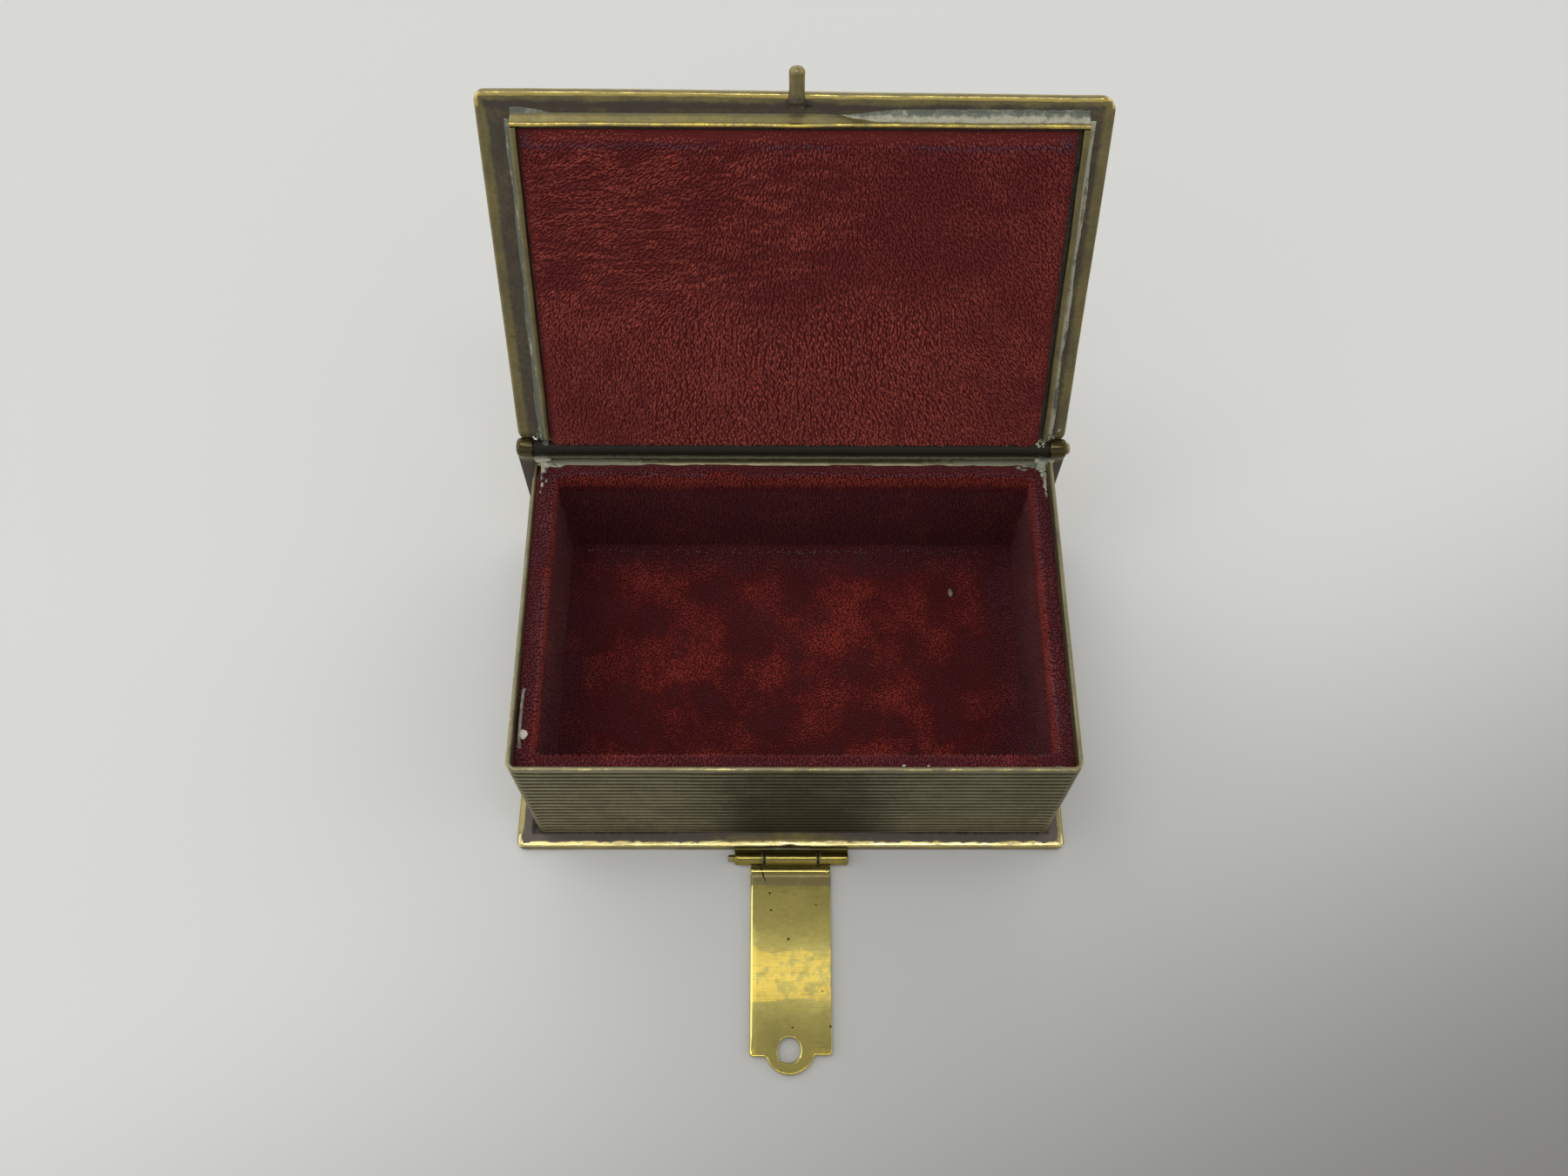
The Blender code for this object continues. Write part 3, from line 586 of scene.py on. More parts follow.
def border_cuts(low, high, spacing):
    """Places to cut a plate: at insets from both ends, and evenly between them."""
    inner = np.arange(low + BORDER_INSETS[-1] + spacing, high - BORDER_INSETS[-1], spacing)
    ends = [low + inset for inset in BORDER_INSETS] + [high - inset for inset in BORDER_INSETS]
    return sorted(ends + inner.tolist())


def inset_from(points, low, high):
    """How far each point lies inside a rectangle in plan."""
    x, y, _ = points.T
    return np.minimum.reduce([x - low[0], high[0] - x, y - low[1], high[1] - y])


def make_base_cover(material):
    """The lower cover: a rubbed bright edge, a tarnished border, and a nick above the clasp."""
    low, high = local_box("base_cover")
    cuts = border_cuts(low[0], high[0], 0.8), border_cuts(low[1], high[1], 1.5)
    points, faces = plate_body([rounded_outline(low, high, 1.2)], low[2], high[2], 0.45, *cuts)
    inset = inset_from(points, low, high)
    x, y, z = points.T
    top = z > (low[2] + high[2]) / 2
    ragged = noise(x, y, 0.8, 13, 3) + 0.6 * noise(x, y, 4.0, 14)
    ripple = np.abs(noise(x, y, 3.0, 11, 3))
    z -= np.where(top, 0.20 * ease(inset + 0.12 * ragged, 1.25, -0.3) + 0.03 * ripple, 0.0)
    wander = 0.05 * noise(x, y, 4.0, 12, 3) * ease(inset, 1.5, 0.0)
    y += np.where(y < low[1] + 2, wander, 0.0)
    x += np.where(np.abs(x) > high[0] - 2, 0.6 * wander, 0.0)
    nick = np.maximum(bell(x, -0.66, 0.22), 0.5 * bell(x, -0.1 - 0.5 * inset, 0.15))
    nick = nick * ease(inset, 1.25, 0.7) * (y < 0)
    y += 0.3 * nick
    z -= np.where(top, 0.35 * nick, 0.0)
    front = ease(y, low[1] + 2.4, low[1] + 1.6)
    scuffed = noise(x * 0.7, y * 2.0, 0.5, 15, 3)
    rim = ease(inset + 0.34 * ragged, 1.0, 0.65) * ease(inset, 0.12, 0.4)
    rim = rim * ease(z, low[2] + 0.72, low[2] + 1.0) * (0.3 + 0.8 * front + 0.35 * scuffed)
    behind_clasp = bell(x, 0.3, 11.0) * (y < 0)
    wear_and_highlight = rim * (1 - 0.45 * behind_clasp) + 0.22 * behind_clasp * ease(inset, 2.0, 0.6)
    grime_and_shade = 0.62 * ease(inset + 0.34 * ragged, 0.75, 1.1) + 0.3 * ease(inset, 1.9, 2.3)
    grime_and_shade = grime_and_shade - 0.42 * behind_clasp
    grime_and_shade = grime_and_shade + 0.5 * ease(scuffed, 0.2, 0.5) * ease(inset, 0.3, 0.6) * ease(inset, 1.1, 0.8)
    # The faces below the top take 0.5 of grime_and_shade: tarnish on them, deepened as painted shade.
    marks = brass_marks(np.where(top, wear_and_highlight, 0.05), np.where(top, grime_and_shade + 0.9 * nick, 0.5))
    add_piece("base_cover_worn", (points, faces), "case", material, "base_cover", marks, 50)


def lid_cover_outline(low, high, notch):
    """The upper cover in plan, with notches at its rear corners for the spine's tubes."""
    ends, small, radius = -1.41, 0.75, 1.3
    points = arc((high[0] - small, ends - small), small, 0, 90, 5)
    points += [(high[0] - notch - 0.1, ends), (high[0] - notch - 0.1, high[1])]
    points += [(low[0] + notch + 0.1, high[1]), (low[0] + notch + 0.1, ends)]
    points += arc((low[0] + small, ends - small), small, 90, 180, 5)
    points += arc((low[0] + radius, low[1] + radius), radius, 180, 270, 8)
    points += arc((high[0] - 1.5 * radius, low[1] + 1.5 * radius), 1.5 * radius, 270, 360, 10)
    return points


def make_lid_cover(material):
    """The upper cover. It is a hair wider at the front than at the hinge, and clears the spine's tubes."""
    low, high = local_box("lid_cover", LID)
    notch = local_box("spine_knuckle_left")[1][0] - low[0]
    tube_clear, sideways = 1.49, 0.008
    cuts = border_cuts(low[0], high[0], 1.5), border_cuts(low[1], high[1], 1.5)
    points, faces = plate_body([lid_cover_outline(low, high, notch)], low[2], high[2], 0.42, *cuts)
    inset = inset_from(points, low, high + np.array([0.0, 9.0, 0.0]))
    x, y, z = points.T
    inner = z < (low[2] + high[2]) / 2
    ripple = 0.05 * np.abs(noise(x, y, 5.0, 21, 3))
    z += np.where(inner, ripple, -ripple) * ease(inset, 2.5, 0.0)
    wander = 0.05 * noise(x, y, 9.0, 22, 3) * ease(inset, 2.0, 0.0)
    y += np.where(y < low[1] + 2, wander, 0.0)
    x += np.where(np.abs(x) > high[0] - 2, wander, 0.0)
    x *= 1.0 + sideways * (ease(y, high[1], low[1]) - 0.8)
    y += 0.5 * ease(x, -30.0, 40.0) * ease(y, -12.0, low[1])
    tab = (np.abs(x) > high[0] - notch) * (y > -1.95) * ease(np.abs(x), high[0] - 0.3, high[0] - 0.9)
    y += tab * (-np.sqrt(np.maximum(tube_clear**2 - z**2, 0.2)) - y)
    ragged = noise(x, y, 1.2, 23, 3)
    front = ease(y, low[1] + 2.4, low[1] + 1.6)
    rim = bell(inset + 0.1 * ragged, 0.38, 0.26)
    wear_and_highlight = np.where(inner, rim * (0.1 + 0.75 * front), 0.25 + 0.35 * ease(inset, 2.0, 0.3))
    film_and_shade = 0.12 + 0.38 * ease(inset + 0.3 * ragged, 1.0, 1.7) + 0.15 * ease(inset, 0.25, 0.0) - 0.2 * rim
    film_and_shade = film_and_shade + 0.2 * front * ease(inset + 0.2 * ragged, 0.6, 1.2)
    film_and_shade = film_and_shade + 0.6 * bell(x, 0.3, 1.3) * front * ease(inset, 0.3, 1.0)
    paste = np.where(inner, 0.36 * ease(inset, 2.3, 3.4), 0.0)
    marks = brass_marks(wear_and_highlight, np.where(inner, film_and_shade, 0.1), paste)
    add_piece("lid_cover_worn", (points, faces), "lid", material, "lid_cover", marks, 50)


# ------------------------------
# Page wall, back wall and spine

WALL_SHEET = 0.65
WALL_CORNER = 1.4
GROOVES = 19
GROOVE_LEVELS = (-0.5, -0.38, -0.30, -0.22, -0.12, 0.0, 0.12, 0.22, 0.30, 0.38)
NO_GROOVE = 9.0
# The rim's section: how far out from the inner face, and how far down from the top.
RIM = np.array([(0.61, 0.10), (0.50, 0.0), (0.18, 0.0), (0.05, 0.06), (0.0, 0.25), (0.0, 1.6), (0.0, 2.2)])


def wall_plan(low, high):
    """Points along the wall's inner face from its left rear end to its right rear end.

    Each has its outward direction, and how far it is into a bend.
    """
    inner = WALL_CORNER - WALL_SHEET
    left, right, front = low[0] + WALL_CORNER, high[0] - WALL_CORNER, low[1] + WALL_CORNER
    turns = np.radians(np.linspace(0, 90, 13)[1:])

    def bent(x, across, along, turn):
        return x + inner * across, front + inner * along, across, along, math.sin(2 * turn)

    plan = [(low[0] + WALL_SHEET, y, -1.0, 0.0, 0.0) for y in stations(high[1], front, 0.8)]
    plan += [bent(left, -math.cos(turn), -math.sin(turn), turn) for turn in turns]
    plan += [(x, low[1] + WALL_SHEET, 0.0, -1.0, 0.0) for x in stations(left, right, 0.8)[1:]]
    plan += [bent(right, math.sin(turn), -math.cos(turn), turn) for turn in turns]
    plan += [(high[0] - WALL_SHEET, y, 1.0, 0.0, 0.0) for y in stations(front, high[1], 0.8)[1:]]
    return np.array(plan)


def wall_lean(x, y, level, low, high):
    """How far the wall's left side leans out, most at its rear, and its right side a little."""
    rise = (level - low[2]) / (high[2] - low[2]) - 0.45
    rear = 0.35 * ease(y, -4.0, 18.0) * (rise + 0.45)
    return np.where(x < 0, -0.75 * rise - rear, 0.25 * rise)


def make_page_wall(material):
    """One sheet bent round three sides, with grooves cut by hand: they wander and are worn at the front."""
    low, high = local_box("page_wall")
    back_top = local_box("back_wall")[1][2]
    first, last = low[2] + 0.9, high[2] - 1.5
    pitch = (last - first) / (GROOVES - 1)
    levels = [(low[2], 0, NO_GROOVE), (low[2] + 0.2, 0, NO_GROOVE)]
    for groove in range(GROOVES):
        levels += [(first + (groove + offset) * pitch, groove, offset) for offset in GROOVE_LEVELS]
    levels += [(high[2] - 0.8, 0, NO_GROOVE), (high[2] - 0.45, 0, NO_GROOVE)]
    flat, groove, offset = np.array(levels).T
    cut = offset != NO_GROOVE
    rim_out, rim_drop = RIM.T
    rim_edge = rim_out > 0.4
    plan = wall_plan(low, high)
    run = np.concatenate([[0.0], np.cumsum(np.hypot(np.diff(plan[:, 0]), np.diff(plan[:, 1])))])
    rows, wear_and_highlight, grime_and_shade = [], [], []
    for (x, y, across, along, bend), distance in zip(plan, run):
        at_front = y < low[1] + 2
        worn = ease(x, -17.0, -4.0) * ease(x, 20.0, 7.0) * at_front
        top = high[2] if y < high[1] - 0.6 else back_top
        level = flat + cut * (0.10 * noise(distance, groove * 7.7, 9.0, 32))
        strength = 0.9 + 0.25 * noise(distance, groove * 5.3, 5.0, 33) - 0.25 * worn - 0.5 * bend
        depth = cut * strength * ease(np.abs(offset), 0.34, 0.16)
        height = (level - low[2]) / (high[2] - low[2])
        rubbed = noise(distance, level, 3.0, 34)
        out = WALL_SHEET - 0.28 * depth - 0.02 * (1 - depth) * (1 + rubbed) + 0.3 * bend * (1 - height)
        rim = top - 0.06 + (0.05 * noise(distance, 0.0, 6.0, 31, 3) if top == high[2] else 0.0)
        scuffed = noise(distance, rim_out * 2, 2.2, 35, 3)
        out = np.concatenate([out, rim_out, [0.0]])
        ring = [x + across * out, y + along * out]
        ring.append(np.concatenate([np.minimum(level, top), rim - rim_drop, [low[2]]]))
        rows.append(np.stack(ring, axis=1))
        wear_and_highlight += [0.16 + 0.10 * rubbed - 0.4 * depth + 0.1 * bend - 0.1 * worn]
        wear_and_highlight += [np.where(rim_edge & at_front, 0.42, 0.14) + 0.35 * scuffed, [0.1]]
        grime_and_shade += [0.04 + 0.44 * worn * (1.25 - 0.5 * height) + 0.95 * depth]
        stain_and_shade = np.where(rim_edge, 0.10, 0.25) - 0.15 * scuffed
        grime_and_shade += [stain_and_shade + np.where(rim_drop > 0.3, 0.3, 0.0), [0.6]]
    points, faces = lofted(rows)
    x, y, z = points.T
    x += wall_lean(x, y, z, low, high)
    marks = brass_marks(np.concatenate(wear_and_highlight), np.concatenate(grime_and_shade))
    add_piece("page_wall_grooved", (points, faces), "case", material, "page_wall", marks)


def make_back_wall(material):
    low, high = local_box("back_wall")
    points, faces = worked_block(low, high, 0.5)
    x, y, z = points.T
    near_top = ease(z, high[2] - 0.8, high[2])
    z += near_top * (0.12 * noise(x, z * 0, 2.2, 41, 3) - 0.05)
    lip = ease(z, high[2] - 0.95, high[2] - 0.7) * (y < (low[1] + high[1]) / 2)
    y += 0.04 * noise(x, z, 3.0, 42) - 0.3 * lip
    ends = ease(np.abs(x), 14.0, 34.0)
    marks = brass_marks(0.1 * near_top, 0.55 - 0.4 * near_top, near_top * (0.36 + 0.4 * ends))
    add_piece("back_wall_worn", (points, faces), "case", material, "back_wall", marks)


def make_spine(material):
    """The bulging plate behind the hinge, a little dented, with its edges worn round."""
    low, high = local_box("spine")
    front, thickness, soft = low[1], 1.1, 0.3
    bulge = high[1] - front - thickness
    middle, half = (low[2] + high[2]) / 2, (high[2] - low[2]) / 2
    radius = (half**2 + bulge**2) / (2 * bulge)
    rings = []
    for x in stations(low[0], high[0], 1.0):
        end = min(x - low[0], high[0] - x)
        shrink = soft - math.sqrt(max(0.0, soft**2 - max(0.0, soft - end) ** 2))
        ring = [(x, front + shrink, z) for z in np.linspace(low[2] + soft, high[2] - soft, 12)[::-1]]
        for z in np.linspace(low[2] + 0.02, high[2] - 0.02, 30):
            y = front + thickness + bulge - radius + math.sqrt(radius**2 - (z - middle) ** 2)
            rounding = max(0.0, soft - min(z - low[2], high[2] - z))
            ring.append((x, y - shrink - rounding**2, z))
        rings.append(ring)
    points, faces = lofted(rings)
    x, y, z = points.T
    outer = y > front + 0.6
    y -= np.where(outer, 0.10 * np.abs(noise(x, z, 9.0, 51, 3)), 0.0)
    border = np.minimum.reduce([x - low[0], high[0] - x, z - low[2], high[2] - z])
    wear_and_highlight = np.where(outer, 0.22 + 0.35 * ease(border, 1.8, 0.2), 0.0)
    ledge = ease(z, 25.6, 26.2) * ~outer
    marks = brass_marks(wear_and_highlight, np.where(outer, 0.12, 0.7 - 0.4 * ledge), 0.62 * ledge)
    add_piece("spine_worn", (points, faces), "case", material, "spine", marks)


# ------------------------------
# Hinges, clasp, flanges and stud

LID_BORE = 0.6
CLASP_TUBE, CLASP_BORE = 1.03, 0.56


def tube_shape(low, high, radius, bore, ends, seed):
    """A hinge tube between two corners, along X. ends are the rounding of its left and right end."""
    length = high[0] - low[0]
    centre = (low[0], (low[1] + high[1]) / 2, (low[2] + high[2]) / 2)
    angles = np.radians(np.linspace(0, 90, 6))
    left = [(ends[0] * (1 - math.cos(a)), radius - ends[0] * (1 - math.sin(a))) for a in angles]
    right = [(length - ends[1] * (1 - math.cos(a)), radius - ends[1] * (1 - math.sin(a))) for a in angles]
    between = [(along, radius) for along in stations(ends[0], length - ends[1], 0.7)[1:-1]]
    profile = [(0.0, bore)] + left + between + right[::-1] + [(length, bore)]
    points, faces = turned(profile, centre)
    faces = faces[:-2]
    last = (len(profile) - 1) * SEGMENTS
    for j in range(SEGMENTS):
        k = (j + 1) % SEGMENTS
        faces.append([last + j, last + k, k, j])
    radial = points - np.array([0.0, centre[1], centre[2]])
    radial[:, 0] = 0.0
    around = np.arctan2(radial[:, 2], radial[:, 1])
    dents = 0.02 * np.abs(noise(points[:, 0], around * 1.3, 1.4, seed))
    far = np.linalg.norm(radial, axis=1) > bore + 0.1
    return points - radial / radius * (dents * far)[:, None], faces


def make_lid_hinge(bright, dark):
    """The spine's two end tubes, fat and smooth from handling, and the lid's long barrel, painted dark as
    the shade it lies in.
    """
    for side, seed, ends in (("left", 91, (0.75, 0.25)), ("right", 92, (0.25, 0.6))):
        node = "spine_knuckle_" + side
        low, high = local_box(node)
        low[0], high[0] = low[0] - 0.35 * (side == "right"), high[0] + 0.35 * (side == "left")
        shape = tube_shape(low, high, 1.45, LID_BORE, ends, seed)
        marks = brass_marks(0.05, 0.12)
        add_piece("end_knuckle_" + side, shape, "case", bright, node, marks, 50)
    shape = tube_shape(*local_box("lid_knuckle", LID), 1.1, LID_BORE, (0.1, 0.1), 93)
    # A full grime_and_shade mark blackens the barrel: painted shade.
    marks = brass_marks(-0.3, 1.0)
    add_piece("lid_barrel", shape, "lid", dark, "lid_knuckle", marks, 50)


def make_flange(where, seed, material):
    """A thin strip with a rounded, slightly wavy free edge."""
    node = "lid_flange_" + where
    along_x = where == "front"
    low, high = local_box(node, LID)
    axis, side = (0, 1) if along_x else (1, 0)
    half, middle = (high[side] - low[side]) / 2, (high[side] + low[side]) / 2
    ring = [(half, high[2]), (half, low[2] + 0.9), (half, low[2] + 0.5)]
    for a in np.radians(np.linspace(0, 180, 9)):
        ring.append((half * math.cos(a), low[2] + 0.26 - 0.26 * math.sin(a)))
    ring += [(-half, low[2] + 0.5), (-half, low[2] + 0.9), (-half, high[2])]
    out, level = np.array(ring).T
    free = ease(level, high[2], low[2])
    taper = np.where(along_x & (out < 0), ease(level, low[2] + 0.2, high[2] - 0.1), 0.0)
    rows = []
    for run in stations(low[axis], high[axis], 0.5):
        sway = 0.10 * noise(run, seed, 8.0, seed, 3)
        rise = 0.07 * noise(run, seed + 3.0, 5.0, seed + 1, 3)
        row = np.zeros((len(out), 3))
        row[:, axis] = run
        row[:, side] = middle + out * (0.92 if along_x else 1.4) + sway * free
        row[:, side] -= 0.8 * (ease(run, 12.0, 3.0) * taper)
        row[:, 2] = level + rise * free + 0.05 * free
        rows.append(row)
    points, faces = lofted(rows)
    length, across, z = points[:, axis], points[:, side], points[:, 2]
    tip = ease(z, low[2] + 0.6, low[2] + 0.15)
    ragged = noise(length, z, 1.4, seed + 5, 3)
    foot = ease(z, low[2] + 0.7, high[2]) * (across < middle if along_x else 1.0)
    # On the front flange a paler line of paste runs along the foot's outer edge: paste flecks, and painted
    # highlight on that edge.
    edge = bell(across, low[side] - 0.75, 0.12) if along_x else 0.0
    flecks_and_highlight = 0.42 + 0.25 * edge + 0.2 * noise(length, across, 0.8, seed + 6)
    wear_and_highlight = 0.05 + (0.42 if along_x else 0.02) * tip + 0.2 * ragged
    marks = brass_marks(wear_and_highlight, 0.22 - 0.3 * tip - 0.15 * ragged, flecks_and_highlight * foot)
    shape = points, faces if along_x else flipped(faces)
    add_piece("flange_strip_" + where, shape, "lid", material, node, marks)


def make_stud(material):
    """The clasp's stud: a domed rod on the lid's front edge, with solder drawn up round its foot."""
    low, high = local_box("clasp_stud", LID)
    radius, length = (high[2] - low[2]) / 2, high[1] - low[1]
    end, angles = length + 1.0, np.radians(np.linspace(3, 90, 9))
    dome = [(0.8 * (1 - math.cos(a)), 0.90 * radius * math.sin(a) ** 0.8) for a in angles]
    shaft = [(run, radius * (0.885 + 0.115 * ease(run, 2.8, 4.6))) for run in np.linspace(1.0, 4.6, 13)]
    foot = [(run, radius * (1.0 - 0.35 * ease(run, 4.6, end))) for run in np.linspace(4.8, end, 6)]
    points, faces = turned(dome + shaft + foot, (0.0, 0.0, 0.0))
    points = points[:, [1, 0, 2]] + np.array([(low[0] + high[0]) / 2, low[1], (low[2] + high[2]) / 2])
    x, y, z = points.T
    along = y - low[1]
    x += 0.03 * noise(x * 2, along, 1.0, 95)
    z[:] = np.maximum(z, LID_FACE - 1.4 * ease(along, length, length - 0.7))
    marks = brass_marks(0.3 * ease(along, 1.2, 0.3), 0.10 + 0.4 * ease(along, 2.4, 4.2))
    shape = points, flipped(faces)
    add_piece("clasp_stud_worn", shape, "lid", material, "clasp_stud", marks)


def make_clasp_hinge(material):
    """The leaf on the base's front edge with its two tubes, rubbed bright along their tops."""
    low, high = local_box("hasp_hinge_leaf")
    (_, y, z), radius, half = HASP_AXIS, CLASP_TUBE, 3.95
    shapes = [worked_block((low[0], high[1] - 0.4, 0.1), (high[0], high[1], 1.5), 0.8, edge=0.1)]
    for left, right, ends, seed in ((low[0], -half, (0.45, 0.2), 96), (half, high[0], (0.2, 0.35), 97)):
        corners = (left, y - radius, z - radius), (right, y + radius, z + radius)
        shapes.append(tube_shape(*corners, radius, CLASP_BORE, ends, seed))
        web = (left + 0.1, y + 0.75, 0.5), (right - 0.1, high[1] - 0.35, 1.15)
        shapes.append(worked_block(*web, 0.8, edge=0.1))
    points, faces = joined(shapes)
    tube = ease(points[:, 1], y + 1.1, y + 0.9)
    seam = bell(np.abs(points[:, 0]), half + 0.02, 0.16)
    marks = brass_marks(0.2 * tube, 0.45 - 0.35 * tube + 1.1 * seam)
    shape = points, faces
    add_piece("clasp_hinge_worn", shape, "case", material, "hasp_hinge_leaf", marks, 50)


STRAP_HALF, STRAP_SHIFT = 5.82, -0.18
HOLE_X, HOLE_REACH, HOLE = STRAP_SHIFT - 0.24, 27.05, 1.61
LAP = 2.3  # the sheet is lapped behind its tube up to this far from the axis


def strap_outline(axis_y):
    """The strap in plan, with its axis behind it: a neck, square shoulders and a round tab."""
    neck, tab, soft, far = 3.75, 3.45, 0.45, STRAP_HALF - 0.12
    centre = (STRAP_SHIFT - 0.17, axis_y - 26.88)
    left, right = axis_y - 27.9, axis_y - 27.75
    points = [(neck, axis_y - 0.55), (-neck, axis_y - 0.55), (-neck, axis_y - 1.12)]
    points += [(-STRAP_HALF - 0.1, axis_y - 1.12)]
    points += arc((STRAP_SHIFT - far + soft, left + soft), soft, 180, 270, 4)
    points += [(centre[0] - tab - 0.15, left)] + arc(centre, tab, 200, 340, 22)
    points += [(centre[0] + tab + 0.1, right)]
    points += arc((STRAP_SHIFT + far - soft, right + soft), soft, 270, 360, 4)
    points += [(STRAP_HALF - 0.1, axis_y - 1.12), (neck, axis_y - 1.12)]
    return points


def make_strap(material):
    """The clasp's strap, lapped behind its tube and rubbed bright by the thumb; the bright band across its
    middle and the lap's ridge are also painted highlight.
    """
    axis_y = HASP_AXIS[1]
    opening = []
    for x, y in arc((0.0, 0.0), HOLE, 360, 10, 35):
        squared = 1.0 + 0.2 * bell(math.degrees(math.atan2(y, x)), -135.0, 13.0)
        opening.append((HOLE_X + x * squared, axis_y - HOLE_REACH + 1.06 * y * squared))
    cuts_x = stations(-STRAP_HALF + 0.3, STRAP_HALF - 0.3, 0.35)
    cuts_y = stations(local_box("hasp_strap")[0][1] + 0.3, axis_y - 0.7, 0.35)
    points, faces = plate_body([strap_outline(axis_y), opening], 0.05, 0.95, 0.16, cuts_x, cuts_y, steps=3)
    x, y, z = points.T
    reach = axis_y - y
    top = ease(z, 0.3, 0.9)
    lap = ease(reach + 0.05 * noise(x, y * 0, 2.0, 101), 2.45, 2.15)
    ridge = bell(reach, LAP + 0.05 * noise(x, y * 0, 3.0, 102), 0.16)
    worked = 0.004 * noise(x, y, 5.0, 103) + 0.0012 * noise(x, y, 0.9, 104)
    left_slope = ease(x, -STRAP_HALF + 1.1, -STRAP_HALF) * ease(reach, 9.0, 13.0)
    z += top * (0.33 * lap + 0.05 * ridge + worked - 0.03 * left_slope)
    from_hole = np.hypot(x - HOLE_X, reach - HOLE_REACH)
    tab_edge = ease(from_hole, 2.5, 3.3) * (reach > HOLE_REACH - 0.3)
    by_hole = bell(from_hole, 2.4, 0.6) * ease(x, 0.4, 1.4)
    speckle = noise(x, y, 0.7, 105, 3)
    # The band across the strap is painted highlight: polish laid where the strip lamp is reflected. The
    # ridge at the lap is rubbed, and is also painted brighter as its highlight.
    edge_of_highlight_band = reach + 0.35 * noise(x, y, 2.2, 107, 3)
    band = ease(edge_of_highlight_band, 11.6, 13.8) * ease(edge_of_highlight_band, 20.7, 20.3)
    wear_and_highlight = -0.1 + (0.62 + 0.3 * speckle) * band + 0.5 * left_slope + 0.55 * tab_edge
    wear_and_highlight = wear_and_highlight + 0.5 * by_hole + 0.15 * speckle + 0.5 * ridge
    dull = 0.12 + 0.22 * noise(x, y, 1.6, 108, 3)
    grime_and_shade = 0.5 * ease(reach, 4.3, 4.0) * (1 - lap) + dull * (1 - band) * (1 - tab_edge) - 0.02
    inner_wall = ease(from_hole, HOLE + 0.12, HOLE - 0.02)
    marks = brass_marks(wear_and_highlight * top, grime_and_shade + 0.3 * (1 - top) + 0.5 * inner_wall * (1 - top))
    add_piece("clasp_strap_worn", (points, faces), "hasp", material, "hasp_strap", marks, 50)


def make_strap_crack(material):
    """A dark wandering crack across the strap's lap, as a sliver that stands just proud of the sheet."""
    sliver = []
    for share in np.linspace(0.0, 1.0, 13):
        along = 1.2 + 3.1 * share
        across = -4.75 + 1.35 * share**0.8 + 0.06 * math.sin(9.0 * share)
        wide = 0.02 + 0.11 * math.sin(math.pi * min(1.0, share + 0.2))
        face = 0.955 + 0.33 * ease(along, 2.45, 2.15) + 0.05 * bell(along, LAP, 0.16)
        corners = ((-wide, 0.7), (wide, 0.7), (wide, face), (-wide, face))
        sliver.append([(across + out, HASP_AXIS[1] - along, level) for out, level in corners])
    marks = brass_marks(0.0, 1.2)
    add_piece("strap_crack", lofted(sliver), "hasp", material, marks=marks)


def make_strap_tube(material):
    _, y, z = HASP_AXIS
    radius, half = CLASP_TUBE, 3.85
    corners = (-half, y - radius, z - radius), (half, y + radius, z + radius)
    shape = tube_shape(*corners, radius, CLASP_BORE, (0.2, 0.2), 106)
    marks = brass_marks(0.25, 0.05 + 1.1 * bell(np.abs(shape[0][:, 0]), half + 0.02, 0.16))
    add_piece("clasp_strap_tube", shape, "hasp", material, "hasp_strap", marks, 50)


# ------------------------------
# Velvet


